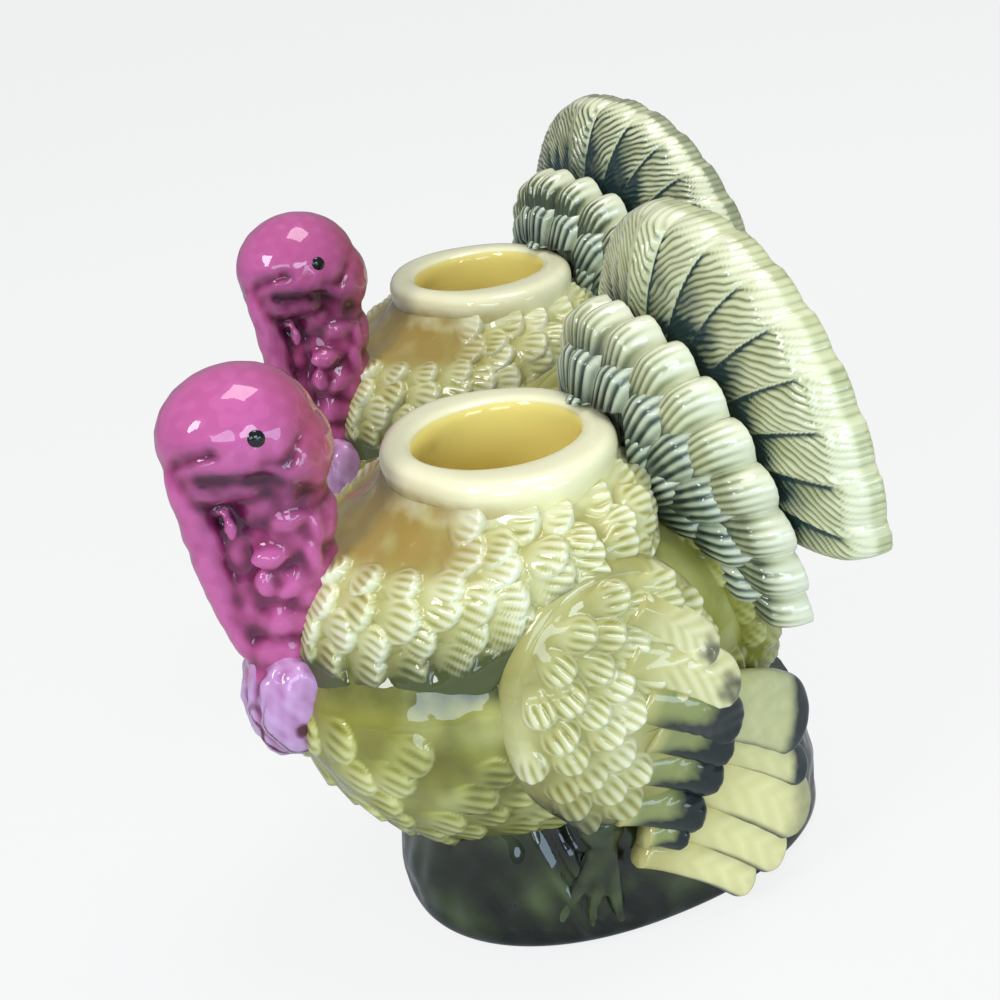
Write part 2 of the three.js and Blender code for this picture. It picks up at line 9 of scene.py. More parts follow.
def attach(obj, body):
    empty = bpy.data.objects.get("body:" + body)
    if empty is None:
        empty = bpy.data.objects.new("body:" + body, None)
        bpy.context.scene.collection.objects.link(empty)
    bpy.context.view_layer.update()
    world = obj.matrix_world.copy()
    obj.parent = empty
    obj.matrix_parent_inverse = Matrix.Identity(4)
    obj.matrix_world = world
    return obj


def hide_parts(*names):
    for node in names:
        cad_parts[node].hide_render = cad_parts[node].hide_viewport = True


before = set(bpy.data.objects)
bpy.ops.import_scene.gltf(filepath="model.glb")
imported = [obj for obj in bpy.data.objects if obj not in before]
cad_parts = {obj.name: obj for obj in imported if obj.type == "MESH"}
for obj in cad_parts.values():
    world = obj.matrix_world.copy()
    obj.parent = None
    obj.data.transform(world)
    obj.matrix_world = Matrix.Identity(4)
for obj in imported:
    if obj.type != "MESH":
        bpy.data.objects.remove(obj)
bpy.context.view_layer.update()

bl_info = {
    "name": "Glazed Turkey Candle Holders",
    "version": (1, 0, 0),
    "blender": (4, 5, 0),
    "location": "3D View > Sidebar > Turkeys",
    "description": "Casts and glazes a pair of ceramic turkey candle holders on the packed solids",
    "category": "Object",
}

MM = 0.001

# What the glaze reads at each point: how thinly it lies, and what is airbrushed dark and pale under it. On some pieces
# the dark one also carries painted shade and painted shadow
MASKS = ("pool", "dark", "pale")

# Places and sizes of the casting in millimetres, in the bird's own frame: x to its left, y behind it, z up
CUP_Y = -13.0
CUP_HALVES = (18.2, 15.4)
CUP_LIMITS = (18.3, 15.6)
SOCKET_DEPTH = 24.0
# Half sizes and height of the room that the tail leaves round the cup
CUP_ROOM = (18.6, 15.9, 70.2)
# Radius of the hidden wall that body and mantle have round the cup
INNER_WALL = 13.2
BODY_Y = -14.0
BODY_Z = (13.5, 58.0)
BODY_FRONT = 34.3
BODY_BACK = 33.8
BODY_HALF = 26.3
BODY_SQUARE = 2.3
# Height, half width and reach of the body as shares
BODY_LEVELS = [(0.0, 0.36, 0.4), (0.07, 0.58, 0.6), (0.19, 0.77, 0.78), (0.34, 0.91, 0.92),
               (0.52, 1.0, 1.0), (0.72, 0.96, 0.95), (0.88, 0.78, 0.78), (1.0, 0.48, 0.5)]
MANTLE_TOP = 65.3
MANTLE_HEM = (41.0, 55.0)
MANTLE_HALF = 25.3
MANTLE_REACH = (33.2, 18.6)
MANTLE_NECK = (18.1, 15.5)
# Mantle from under its hem up to the cup: place, share of its reach, millimetres of lift and share of its height
MANTLE_PROFILE = [(0.0, 0.72, 3.2, 0.0), (0.05, 0.84, 1.2, 0.0), (0.1, 0.94, 0.1, 0.0), (0.15, 0.995, 0.2, 0.02),
                  (0.25, 1.01, 0.0, 0.14), (0.45, 0.98, 0.0, 0.4), (0.66, 0.84, 0.0, 0.68), (0.8, 0.55, 0.0, 0.84),
                  (0.9, 0.24, 0.0, 0.93), (1.0, 0.03, 0.0, 1.06)]
FOOT_Y = -4.0
FOOT_HALF = 23.4
FOOT_REACH = (32.0, 33.0)
FOOT_TOP = 22.0
FOOT_SQUARE = 2.2
# Place along the profile, height and inset of the foot
FOOT_PROFILE = [(0.0, 0.0, 9.0), (0.04, 0.0, 4.6), (0.1, 0.25, 2.9), (0.2, 1.3, 1.2), (0.32, 3.2, 0.25),
                (0.5, 6.5, 0.0), (0.75, 13.0, 0.5), (1.0, FOOT_TOP - 0.3, 2.4)]
RUMP_CENTRE = (0.0, 13.0, 44.0)
RUMP_HALVES = (20.6, 10.6, 24.6)
TIER_HUB = 53.0
FAN_HUB = 56.5
TAIL_WIDTH = 0.9
PLATE_BACK = 1.2
WING_YZ = (-11.5, 40.0)
WING_HALVES = (15.3, 18.8)
WING_START = (-23.5, 56.0)
ANKLE_YZ = (-14.0, 17.5)
TOE_LENGTH = 13.5
EYE = (7.8, -45.8, 80.3)
EYE_HALVES = (0.75, 1.28, 1.28)
# Where the rear bird stands, and its turn
REAR_PLACE = (-73.1, 27.5, math.radians(7.3))

# Feathers of the wing: root and tip as y and z, width, and how far it stands out, in millimetres
WING_TIPS = [((-10.0, 19.5), (-4.2, 16.6), 5.2, 1.8), ((-13.0, 25.0), (-1.6, 19.2), 6.4, 2.2),
             ((-10.5, 30.5), (1.4, 24.0), 6.4, 2.5), ((-8.5, 35.0), (3.2, 27.8), 6.4, 2.8),
             ((-9.0, 41.0), (4.4, 31.0), 7.6, 3.1), ((-10.0, 47.5), (4.0, 37.6), 7.2, 3.3),
             ((-8.5, 53.5), (1.5, 43.5), 5.6, 3.3)]
# The lowest of them have dark ends
DARK_TIPS = 5
PRIMARIES = [((-10.0, 15.5), (6.4, 3.0), 6.4, 0.2), ((-7.0, 20.5), (11.6, 5.2), 7.4, 0.7),
             ((-4.0, 26.5), (16.0, 9.8), 9.6, 1.1), ((-2.0, 30.0), (16.4, 17.2), 5.6, 1.3),
             ((-2.0, 36.5), (16.6, 24.6), 11.0, 1.6)]
# How strongly each flight feather's end is sprayed dark, and how green its glaze is
PRIMARY_RIM = (0.0, 0.0, 0.35, 1.0, 1.0)
PRIMARY_GREEN = (0.0, 0.0, 0.0, 0.2, 0.45)

# Clay pressed on as balls: across, back and up in millimetres, then one half size or three
HOOD = [(0, -46.3, 78.8, 8.5, 10.2, 8.8), (0, -41.8, 75.6, 7.9, 7.0, 7.4), (0, -51.5, 75.6, 6.2, 4.4, 4.6)]
NECK = [(0, -43.3, 71, 6.4, 7.0, 6), (0, -42.8, 66, 6.4, 7.0, 6), (0, -43.3, 60, 6.1, 6.6, 6),
        (0, -44.8, 54.5, 5.3, 5.6, 5), (0, -46.4, 49.5, 4.8, 4.9, 5), (0, -47.4, 45, 4.8, 4.8, 5),
        (0, -48.4, 66, 3.4, 4.2, 7), (0, -48.6, 58, 3.3, 3.8, 7)]
SNOOD = [(1.6, -54.4, 76.2, 2.1), (1.9, -54.4, 73.8, 2.2), (1.9, -54.1, 71.2, 2.25), (1.7, -53.8, 68.6, 2.25),
         (1.4, -53.5, 66.0, 2.2), (1.1, -53.2, 63.4, 2.2), (0.8, -52.9, 60.8, 2.15), (0.5, -52.4, 57.9, 2.1),
         (0.3, -51.9, 55.0, 2.0), (0.1, -51.2, 52.2, 1.9), (0, -50.2, 49.6, 1.9)]
LUMPS = [(6.2, -51.2, 78.6, 1.3, 2.6, 0.8), (7.0, -46.8, 77.6, 1.0, 2.8, 0.8), (5.3, -43.4, 68.2, 1.5, 2.8, 1.9),
         (5.2, -46.6, 64.0, 1.6, 2.7, 1.6), (5.1, -41.4, 62.8, 1.5, 1.3, 3.2), (4.9, -44.8, 59.0, 1.4, 1.7, 1.5),
         (4.9, -40.6, 66.0, 1.6, 1.4, 2.6), (4.5, -47.8, 60.2, 1.2, 1.3, 2.0), (4.5, -42.8, 57.4, 1.4, 2.2, 2.2),
         (4.0, -46.4, 54.2, 1.2, 1.9, 2.0), (4.4, -50.4, 68.6, 0.9, 0.9, 1.7)]
BEAK = [(0, -48.5, 73.4, 5.0, 3.0, 0.9), (0, -51.0, 72.6, 4.4, 2.0, 0.8), (0, -50.6, 70.6, 4.0, 1.8, 0.8),
        (0, -48.0, 71.6, 4.8, 2.6, 0.7)]
WATTLE = [(-4.3, -47.4, 41.8, 2.9, 4.6, 7.0), (-1.6, -48.4, 41.0, 2.5, 4.7, 7.8), (1.6, -48.4, 41.2, 2.5, 4.7, 7.8),
          (4.4, -47.4, 42.2, 3.0, 4.7, 7.2), (0, -47.8, 46.4, 4.4, 4.0, 3.4), (5.9, -46.4, 43.4, 1.9, 3.6, 5.4)]
# Brow and cheek folds: their run as y and z, then width and depth in millimetres, which also size the painted shade
# along them
FOLDS = [(((-57, 77.8), (-54, 79.0), (-51.5, 79.6)), 0.9, 0.5), (((-52.5, 75.9), (-49, 75.6), (-46, 75.0)), 1.2, 0.6),
         (((-45.5, 74.6), (-42.5, 72.9), (-40.5, 71.6)), 1.0, 0.4),
         (((-45.6, 77.0), (-42.5, 76.2), (-40.5, 78.5)), 0.7, 0.25)]

# Clear glaze over airbrushed earthenware. Tones are where it pools in a recess, its body, and where it is thin on
# a ridge. A word in place of a hex colour is one of TurkeyGlazes. Glass over clay has an IOR of about 1.5.
GLAZES = {
    # A warm near-white skin that turns honey yellow down in the socket
    "glazed_earthenware_cream": dict(tones=("#ffe87e", "#e8dd8e", "#fbf5cc"), dark="#93793a", mottle=0.1),
    # A mossy green breast with butter-coloured edges on its shells
    "glazed_earthenware_olive": dict(tones=("#6a641c", "olive", "#e4e2a4"), dark="#343a1c"),
    # Light crisp ribs over olive, with painted shade low down and along the hem, and amber on the slope just below the
    # cup's front
    "glazed_earthenware_mantle": dict(tones=("#8c8438", "#cfcb85", "cream"), dark="#4a5026", pale="#a58c48"),
    # Sage barbs with blue-green at the roots, and the same blue-green as painted shadow along each overlap
    "glazed_earthenware_fan": dict(tones=("#626c40", "#bbbd82", "#e8e8c2"), dark="teal", pale="#f0eecb"),
    # Soft grey-green feathers with pale rounded ends
    "glazed_earthenware_ring": dict(tones=("#70743a", "#bfc189", "#e4e5c4"), dark="#485440"),
    # Blue-green troughs between pale ribs
    "glazed_earthenware_teal": dict(tones=("#34493f", "#7d9175", "#dfe3c6"), dark="#16272e", pale="#ecefd8"),
    # A smooth straw-green shoulder with pale shell edges
    "glazed_earthenware_wing": dict(tones=("#857b34", "#c4c078", "#f2efd0"), dark="#30361c"),
    # Straw turning green, with blue-black sprayed on each wet-looking end
    "glazed_earthenware_tips": dict(tones=("#8b843c", "#c9c27c", "#ebe5b2"), dark="#0b1a1a", pale="#8c9256"),
    # Long buttery feathers with a dark sprayed rim
    "glazed_earthenware_primary": dict(tones=("#9b9148", "#d6cc84", "#f2e8a6"), dark="#182426", pale="#a9ae7c"),
    # A bright pink dome with deep wine colour in its folds, from pooled glaze and painted shade, painted shade under
    # its hood, and browner at the nape
    "glazed_earthenware_plum": dict(tones=("#641a42", "plum", "#c8609a"), dark="#44122f", pale="#a54a50", mottle=0.24),
    # A paler lilac bag with wine-coloured streaks, and creases darkened by pooled glaze and painted shade
    "glazed_earthenware_wattle": dict(tones=("#7a2f63", "#aa5a92", "#d39bcb"), dark="#552034", pale="#cdb0d8",
                                      mottle=0.2),
    # A near-black green foot that mirrors the windows
    "glazed_earthenware_moss": dict(tones=("#1a220e", "moss", "#525e38"), dark="#090e06", roughness=0.05),
    # Black underglaze paint under the clear glaze: two small wet eyes
    "black_underglaze": dict(tones=("#050506", "#0a0a0b", "#141416"), dark="#050506", pale="#141416", roughness=0.1),
}

# Lamps: place and size in metres, watts and colour. The windows show as the blue-white patches on the glaze.
LAMPS = (("window_left", (0.20, -0.50, 0.42), (0.16, 0.2), 1.5, "#f7fbff"),
         ("window_middle", (0.43, -0.272, 0.2), (0.25, 0.16), 0.7, "#d8ebff"),
         ("window_right", (0.60, 0.05, 0.22), (0.22, 0.16), 0.95, "#dff0ff"),
         ("low_sky", (0.5, 0.22, 0.06), (0.34, 0.1), 0.6, "#cbe4ff"),
         ("overhead", (0.05, 0.10, 0.65), (0.28, 0.28), 1.7, "#fffdf9"))
LAMP_AIM = (-0.02, 0.0, 0.04)
TABLE_REACH = 20
CAMERA_PLACE = (0.18017, -0.07938, 0.14672)
CAMERA_TURN_PITCH_ROLL = (70.0, 24.44, -8.51)
SENSOR = 36.0
FOCAL_SHARE = 1.577


def rng(seed):
    return np.random.RandomState(seed)


def smooth(t):
    t = np.clip(t, 0.0, 1.0)
    return t * t * (3 - 2 * t)


def ramp(x, lo, hi):
    return smooth((np.asarray(x, float) - lo) / (hi - lo))


def unit(v):
    v = np.asarray(v, float)
    return v / np.maximum(np.linalg.norm(v, axis=-1, keepdims=True), 1e-9)


def around(nu):
    """Angles of a ring's points."""
    return 2 * math.pi * np.arange(nu) / nu


def waves(P, size, seed, octaves=2):
    """Smooth seeded noise from -1 to 1 with features of about size millimetres."""
    r = rng(seed)
    total = np.zeros(len(P))
    weight = 0.0
    for octave in range(octaves):
        k = 2 * math.pi / (size / 2 ** octave)
        part = np.zeros(len(P))
        for _ in range(6):
            d = unit(r.normal(size=3)) * k * r.uniform(0.7, 1.3)
            part += np.cos(P @ d + r.uniform(0, 6.28))
        total += part / 2.4 / 2 ** octave
        weight += 1 / 2 ** octave
    return np.clip(total / weight, -1, 1)


def spline(rows, t):
    """Values at t along rows, whose first column is the place along them."""
    rows = np.array(rows, float)
    x = rows[:, 0]
    t = np.clip(np.asarray(t, float), x[0], x[-1])
    slopes = np.gradient(rows[:, 1:], x, axis=0)
    i = np.clip(np.searchsorted(x, t, side="right") - 1, 0, len(x) - 2)
    h = (x[i + 1] - x[i])[:, None]
    f = ((t - x[i]) / h[:, 0])[:, None]
    a, b, ma, mb = rows[i, 1:], rows[i + 1, 1:], slopes[i] * h, slopes[i + 1] * h
    return ((2 * f**3 - 3 * f**2 + 1) * a + (f**3 - 2 * f**2 + f) * ma + (3 * f**2 - 2 * f**3) * b
            + (f**3 - f**2) * mb)


def even_rows(rows, count):
    """Places along rows that are evenly spaced by the length of the profile."""
    t = np.linspace(rows[0][0], rows[-1][0], 400)
    values = spline(rows, t)
    gone = np.r_[0, np.cumsum(np.linalg.norm(np.diff(values, axis=0), axis=1))]
    return np.interp(np.linspace(0, gone[-1], count), gone, t)


# A piece is a dict: v points, q four-sided faces, t three-sided faces, and the glaze's masks
def closed_piece(v, q, t, **masks):
    """A piece whose faces look outwards, with its masks held from 0 to 1."""
    tri = np.concatenate([q[:, [0, 1, 2]], q[:, [0, 2, 3]], t])
    p = v - v.mean(0)
    if np.einsum("ij,ij->i", p[tri[:, 0]], np.cross(p[tri[:, 1]], p[tri[:, 2]])).sum() < 0:
        q, t = q[:, ::-1], t[:, ::-1]
    return {"v": v, "q": q, "t": t, **{key: np.clip(np.broadcast_to(masks.get(key, 0.0), len(v)), 0, 1)
                                       for key in MASKS}}


def piece_from_grid(grid, looped=False, **masks):
    """A closed piece from rings of points, with a fan over each end, or with its last ring sewn to its first.
    A mask with fewer rings than the grid keeps its last ring's values over the others."""
    nv, nu = grid.shape[:2]
    v = grid.reshape(-1, 3)
    i = np.arange(nv if looped else nv - 1)[:, None]
    j = np.arange(nu)[None, :]
    near, far, step = i * nu, (i + 1) % nv * nu, (j + 1) % nu
    q = np.stack([near + j, near + step, far + step, far + j], -1).reshape(-1, 4)
    t = np.zeros((0, 3), int)
    if not looped:
        v = np.concatenate([v, grid[0].mean(0)[None], grid[-1].mean(0)[None]])
        j, low, high = np.arange(nu), nv * nu, nv * nu + 1
        n = (j + 1) % nu
        t = np.concatenate([np.stack([n, j, np.full(nu, low)], 1),
                            np.stack([j + (nv - 1) * nu, n + (nv - 1) * nu, np.full(nu, high)], 1)])
    full = {}
    for key, value in masks.items():
        value = np.clip(value, 0, 1)
        value = value.reshape(-1, nu) if value.size > 1 else np.full((nv, nu), value)
        value = np.pad(value, ((0, nv - len(value)), (0, 0)), "edge")
        full[key] = np.concatenate([value.reshape(-1), [] if looped else [value[0].mean(), value[-1].mean()]])
    return closed_piece(v, q, t, **full)


def joined(pieces):
    out = {key: [] for key in ("v", "q", "t", *MASKS)}
    base = 0
    for p in pieces:
        for key in out:
            out[key].append(p[key] + base if key in ("q", "t") else p[key])
        base += len(p["v"])
    return {key: np.concatenate(value) for key, value in out.items()}


def flipped(piece):
    """The same piece on the bird's other side."""
    return {**piece, "v": piece["v"] * np.array([-1.0, 1.0, 1.0]), "q": piece["q"][:, ::-1], "t": piece["t"][:, ::-1]}


def skin(grid):
    """Outward normals of a grid whose rings wrap round, then its points and normals as lists."""
    n = unit(np.cross(np.roll(grid, -1, 1) - np.roll(grid, 1, 1), np.gradient(grid, axis=0)))
    P = grid.reshape(-1, 3)
    if np.einsum("ijk,ijk->ij", n, grid - P.mean(0)).mean() < 0:
        n = -n
    return n, P, n.reshape(-1, 3)


def stamp(P, N, feathers, lift, crown, edge, ribs, count, root_share=0.5):
    """Raises shell-shaped feathers that overlap like tiles. Gives the height, how thin the glaze lies and a tone."""
    H, top = np.zeros(len(P)), np.zeros(len(P))
    pool = np.full(len(P), 0.12)
    tone = np.zeros(len(P))
    for f in feathers:
        L, W = f["long"], f["wide"] / 2
        rel = P - f["at"]
        d = unit(f["way"] - f["normal"] * (f["way"] @ f["normal"]))
        a, x, off = rel @ d, rel @ np.cross(f["normal"], d), rel @ f["normal"]
        near = np.nonzero((a > 0) & (a < L) & (np.abs(x) < W) & (np.abs(off) < 0.45 * L + 1.5))[0]
        if not len(near):
            continue
        a, x = a[near], x[near]
        along = a / L
        here = W * (root_share + (1 - root_share) * smooth(along / 0.6))
        k = min(0.95 * W, 0.6 * L)
        t = np.clip((a - (L - k)) / k, 0, 1)
        rim = np.clip((1 - np.sqrt(t**2 + (x / here) ** 2)) * here, 0, None)
        body = smooth(rim / edge) ** 0.7
        rib = 0.5 + 0.5 * np.cos(2 * math.pi * (x / here) * count / 2 + f["phase"])
        groove = (1 - rib) ** 1.5 * ramp(along, 0.3, 0.6) * smooth((rim - 0.25) / 0.6)
        rise = along**1.2 * body
        h = lift * f["lift"] * rise + crown * (1 - (x / here) ** 2) * rise
        up = h > top[near]
        idx = near[up]
        top[idx] = h[up]
        H[idx] = (h - ribs * groove)[up]
        pool[idx] = np.clip(0.12 + 0.95 * along**1.3 * smooth(rim / 0.45) - 0.6 * groove, 0, 1)[up]
        tone[idx] = f["tone"]
    return H, pool, tone


def rows_on_grid(grid, normals, rows, wide, long, seed, skip=lambda at: False, middle=6.0, droop=0.4,
                 closeness=0.66, missing=0.0):
    """Feathers that flow from the breast round to the back, in staggered rows. rows are shares of the rings."""
    r = rng(seed)
    nv, nu = grid.shape[:2]
    feathers = []
    before = None
    for j, share in enumerate(rows):
        v = int(np.clip(round(share * (nv - 1)), 2, nv - 3))
        ring = grid[v]
        # Every other row stops where the rows run together
        crowded = (np.linalg.norm(ring - before, axis=1) < 0.4 * long) if j % 2 else np.zeros(nu, bool)
        before = ring
        gone = np.r_[0, np.cumsum(np.linalg.norm(np.diff(np.vstack([ring, ring[:1]]), axis=0), axis=1))]
        count = max(6, int(round(gone[-1] / (long * closeness))))
        for k in range(count):
            place = ((k + 0.5 * (j % 2) + 0.2 * r.uniform(-1, 1)) / count % 1.0) * gone[-1]
            u = int(np.searchsorted(gone, place) % nu)
            at, n = grid[v, u], normals[v, u]
            if skip(at) or r.uniform() < missing or crowded[u]:
                continue
            back = unit(np.cross(n, [0, 0, 1.0]))
            back = back if back[1] > 0 else -back
            side = float(ramp(abs(at[0]), 0.0, middle))
            down = unit(np.array([0, 0, -1.0]) + n * n[2])
            way = unit(back * side + down * (droop + (1 - side)) + 0.1 * r.normal(size=3))
            size = 1 + 0.1 * r.uniform(-1, 1)
            feathers.append({"at": at + 0.7 * r.uniform(-1, 1) * down - way * long * 0.5, "normal": n, "way": way,
                             "wide": wide * size, "long": long * size, "tone": r.uniform(-1, 1),
                             "lift": 1 + 0.25 * r.uniform(-1, 1), "phase": 0.8 * r.uniform(-1, 1)})
    return feathers


# Surfaces of the bird
def oval_ring(half, front, back, y, z, square, turn):
    c, s = np.cos(turn), np.sin(turn)
    reach = np.where(s < 0, front, back)
    return np.stack([half * np.sign(c) * np.abs(c) ** (2 / square),
                     y + reach * np.sign(s) * np.abs(s) ** (2 / square), np.full_like(c, z)], -1)


def egg(centre, halves, nv, nu, cut):
    """Rings round an egg, which leave cut radians open at its lowest and highest point."""
    rise, turn = np.linspace(-math.pi / 2 + cut, math.pi / 2 - cut, nv)[:, None], around(nu)
    return np.stack([centre[0] + halves[0] * np.cos(rise) * np.cos(turn),
                     centre[1] + halves[1] * np.cos(rise) * np.sin(turn),
                     centre[2] + halves[2] * np.broadcast_to(np.sin(rise), (nv, nu))], -1)


def raised(grid, normals, height):
    """The grid with each point moved out along its normal."""
    return grid + (normals * height[:, None]).reshape(grid.shape)


def lined(grid, heights):
    """The rings with the hidden wall round the cup added after them."""
    turn = around(grid.shape[1])
    return np.concatenate([grid, [np.stack([INNER_WALL * np.cos(turn), CUP_Y + INNER_WALL * np.sin(turn),
                                            np.full_like(turn, z)], -1) for z in heights]])


def flank(y, z):
    """How far out the side of the bird lies."""
    h = np.clip((z - BODY_Z[0]) / (BODY_Z[1] - BODY_Z[0]), 0, 1)
    rows = np.array(BODY_LEVELS)
    share = np.interp(h, rows[:, 0], rows[:, 1])
    inside = 1 - np.minimum(1, np.abs(y - BODY_Y) / 54.0) ** 2.4
    return BODY_HALF * np.maximum(share, 0.95) * inside ** (1 / 2.4)


def flank_feathers(rows, masks, thick, crown, tilt, rise, bow, blunt, root_share, pitch, depth, steps):
    """Closed feathers with rounded ends along the side of the bird, with herringbone barbs pitch millimetres apart.
    masks(k, a, x, rib) takes a feather's number, the share of its length and of its half width, and its ribs."""
    made = []
    for k, (root, tip, width, stands) in enumerate(rows):
        root = np.array(root)
        way = np.array(tip) - root
        length = float(np.linalg.norm(way))
        side = np.array([-way[1], way[0]]) / length
        na, nx = steps
        a = 1 - (1 - np.linspace(0, 1, na)) ** 1.7
        end_share = min(0.5 * width * blunt / length, 0.8)
        t = np.clip((a - (1 - end_share)) / end_share, 0, 1)
        half = 0.5 * width * np.sqrt(np.clip(1 - t**2.2, 0.0004, 1))
        half = half * (root_share + (1 - root_share) * smooth(a / 0.6))
        thin_share = min(0.42 * thick / length, 0.5)
        end = np.sqrt(np.clip(1 - np.clip((a - (1 - thin_share)) / thin_share, 0, 1) ** 2, 0.02, 1))
        c, d = np.cos(around(2 * nx)), np.sin(around(2 * nx))
        out = np.sign(d) * np.abs(d) ** 0.6
        A = np.broadcast_to(a[:, None], (na, 2 * nx))
        X = half[:, None] * (np.sign(c) * np.abs(c) ** 0.75)[None, :]
        share = X / (0.5 * width)
        rib = 0.5 + 0.5 * np.cos(2 * math.pi * ((A * length * 0.8 - np.abs(X) * 1.15) / pitch))
        fade = ramp(A, 0.2, 0.45) * np.clip(out, 0, 1)[None, :] * (1 - ramp(A, 0.97, 1.0))
        h = out[None, :] * thick / 2 * end[:, None]
        h = h + crown * (1 - share**2) * (out[None, :] + 1) / 2 + tilt * share + rise[0] + (rise[1] - rise[0]) * A
        h = h - depth * (1 - rib) * fade
        across = X + bow * np.sin(math.pi * np.clip(A, 0, 1))
        y, z = root[0] + way[0] * A + side[0] * across, root[1] + way[1] * A + side[1] * across
        pool = 0.3 + 0.7 * ramp(A, 0.05, 0.6) - min(0.6, 3 * depth) * (1 - rib) * fade
        made.append(piece_from_grid(np.stack([flank(y, z) + stands - thick / 2 + h, y, z], -1),
                                    pool=np.where(out[None, :] > 0, pool, 0.25), **masks(k, A, share, rib * fade)))
    return joined(made)


# Glaze
def linear(hexa):
    """A colour written as sRGB hex as linear light."""
    values = [int(hexa[i:i + 2], 16) / 255 for i in (1, 3, 5)]
    return [v / 12.92 if v <= 0.04045 else ((v + 0.055) / 1.055) ** 2.4 for v in values] + [1.0]


def add(tree, kind, inputs=None, **settings):
    node = tree.nodes.new(kind)
    for key, value in settings.items():
        setattr(node, key, value)
    for key, value in (inputs or {}).items():
        socket = node.inputs[key]
        if isinstance(value, bpy.types.NodeSocket):
            tree.links.new(value, socket)
        else:
            socket.default_value = value
    return node


def empty_tree(owner):
    owner.use_nodes = True
    owner.node_tree.nodes.clear()
    return owner.node_tree


def glaze(name):
    """The named glaze. It pools dark in recesses and thins on ridges."""
    if name in bpy.data.materials:
        return bpy.data.materials[name]
    recipe = {"dark": "#22302c", "pale": "#f2efd6", "roughness": 0.12, "mottle": 0.25, **GLAZES[name]}

    def colour(tint):
        return linear(tint if tint.startswith("#") else getattr(bpy.context.scene.turkey_glazes, tint))
    mat = bpy.data.materials.new(name)
    tree = empty_tree(mat)
    place = add(tree, "ShaderNodeTexCoord").outputs["Object"]
    # Airbrushed clouds are about 9 mm across, and the spray's ragged edge has grains of about 2.2 mm
    broad = add(tree, "ShaderNodeTexNoise", {"Vector": place, "Scale": 1 / 0.009, "Detail": 3.0}).outputs["Fac"]
    fine = add(tree, "ShaderNodeTexNoise", {"Vector": place, "Scale": 1 / 0.0022, "Detail": 2.0}).outputs["Fac"]
    pool = add(tree, "ShaderNodeAttribute", attribute_name="pool").outputs["Fac"]
    shift = add(tree, "ShaderNodeMath", {0: broad, 1: 0.5}, operation="SUBTRACT").outputs[0]
    shift = add(tree, "ShaderNodeMath", {0: shift, 1: recipe["mottle"] * 1.6, 2: pool},
                operation="MULTIPLY_ADD").outputs[0]
    tones = add(tree, "ShaderNodeValToRGB", {"Fac": shift})
    tones.color_ramp.interpolation = "B_SPLINE"
    stops = tones.color_ramp.elements
    recess, body, ridge = (colour(tint) for tint in recipe["tones"])
    stops[0].position, stops[0].color = 0.02, recess
    stops[1].position, stops[1].color = 0.95, ridge
    stops.new(0.45).color = body
    base = tones.outputs["Color"]
    for key in ("pale", "dark"):
        mask = add(tree, "ShaderNodeAttribute", attribute_name=key).outputs["Fac"]
        rough_edge = add(tree, "ShaderNodeMath", {0: fine, 1: 0.5}, operation="SUBTRACT").outputs[0]
        rough_edge = add(tree, "ShaderNodeMath", {0: rough_edge, 1: mask}, operation="MULTIPLY").outputs[0]
        mask = add(tree, "ShaderNodeMath", {0: mask, 1: 1.35, 2: rough_edge}, operation="MULTIPLY_ADD",
                   use_clamp=True).outputs[0]
        base = add(tree, "ShaderNodeMix", {0: mask, 6: base, 7: colour(recipe[key])}, data_type="RGBA").outputs[2]
    # Glaze settles in ripples about 3.5 mm apart and less than 0.05 mm deep, which bend its reflections a little
    height = add(tree, "ShaderNodeTexNoise", {"Vector": place, "Scale": 1 / 0.0035, "Detail": 1.0}).outputs["Fac"]
    bump = add(tree, "ShaderNodeBump", {"Strength": 0.12, "Distance": 0.0004, "Height": height}).outputs["Normal"]
    # Glassy clear coat over a duller painted body, so that windows show sharp and the colour stays soft
    shader = add(tree, "ShaderNodeBsdfPrincipled", {
        "Base Color": base, "Roughness": recipe["roughness"] + 0.3, "IOR": 1.5, "Specular IOR Level": 0.1,
        "Coat Weight": 1.0, "Coat Roughness": 0.03, "Coat IOR": 1.5, "Normal": bump, "Coat Normal": bump})
    add(tree, "ShaderNodeOutputMaterial", {0: shader.outputs[0]})
    return mat


# Both birds are cast from one mould: each piece is set down twice and painted twice
def cast(name, piece, material, nodes=(), rear_paint=None):
    for bird in ("front", "rear"):
        v = piece["v"]
        masks = {key: piece[key] for key in MASKS}
        if bird == "rear":
            x, y, turn = REAR_PLACE
            c, s = math.cos(turn), math.sin(turn)
            v = np.stack([x + c * v[:, 0] - s * v[:, 1], y + s * v[:, 0] + c * v[:, 1], v[:, 2]], 1)
            masks.update(rear_paint or {})
        mesh = bpy.data.meshes.new(f"{bird}_{name}_cast")
        q, t = piece["q"], piece["t"]
        mesh.vertices.add(len(v))
        mesh.vertices.foreach_set("co", (v * MM).astype(np.float32).ravel())
        loops = np.concatenate([q.ravel(), t.ravel()]).astype(np.int32)
        mesh.loops.add(len(loops))
        mesh.loops.foreach_set("vertex_index", loops)
        mesh.polygons.add(len(q) + len(t))
        starts = np.concatenate([np.arange(len(q)) * 4, len(q) * 4 + np.arange(len(t)) * 3]).astype(np.int32)
        mesh.polygons.foreach_set("loop_start", starts)
        mesh.polygons.foreach_set("use_smooth", np.ones(len(starts), bool))
        mesh.update(calc_edges=True)
        mesh.validate()
        for key, value in masks.items():
            mesh.attributes.new(key, "FLOAT", "POINT").data.foreach_set("value", value.astype(np.float32))
        mesh.materials.append(glaze(material))
        obj = bpy.data.objects.new(f"{bird}_{name}_cast", mesh)
        bpy.context.scene.collection.objects.link(obj)
        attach(obj, "root")
        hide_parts(*[f"{bird}_{node}" for node in nodes or (name,)])


def cast_pair(name, left, material):
    cast(f"left_{name}", left, material)
    cast(f"right_{name}", flipped(left), material)


def length_property(name, description, default):
    return bpy.props.FloatProperty(name=name, description=description, default=default, unit="LENGTH",
                                   subtype="DISTANCE")


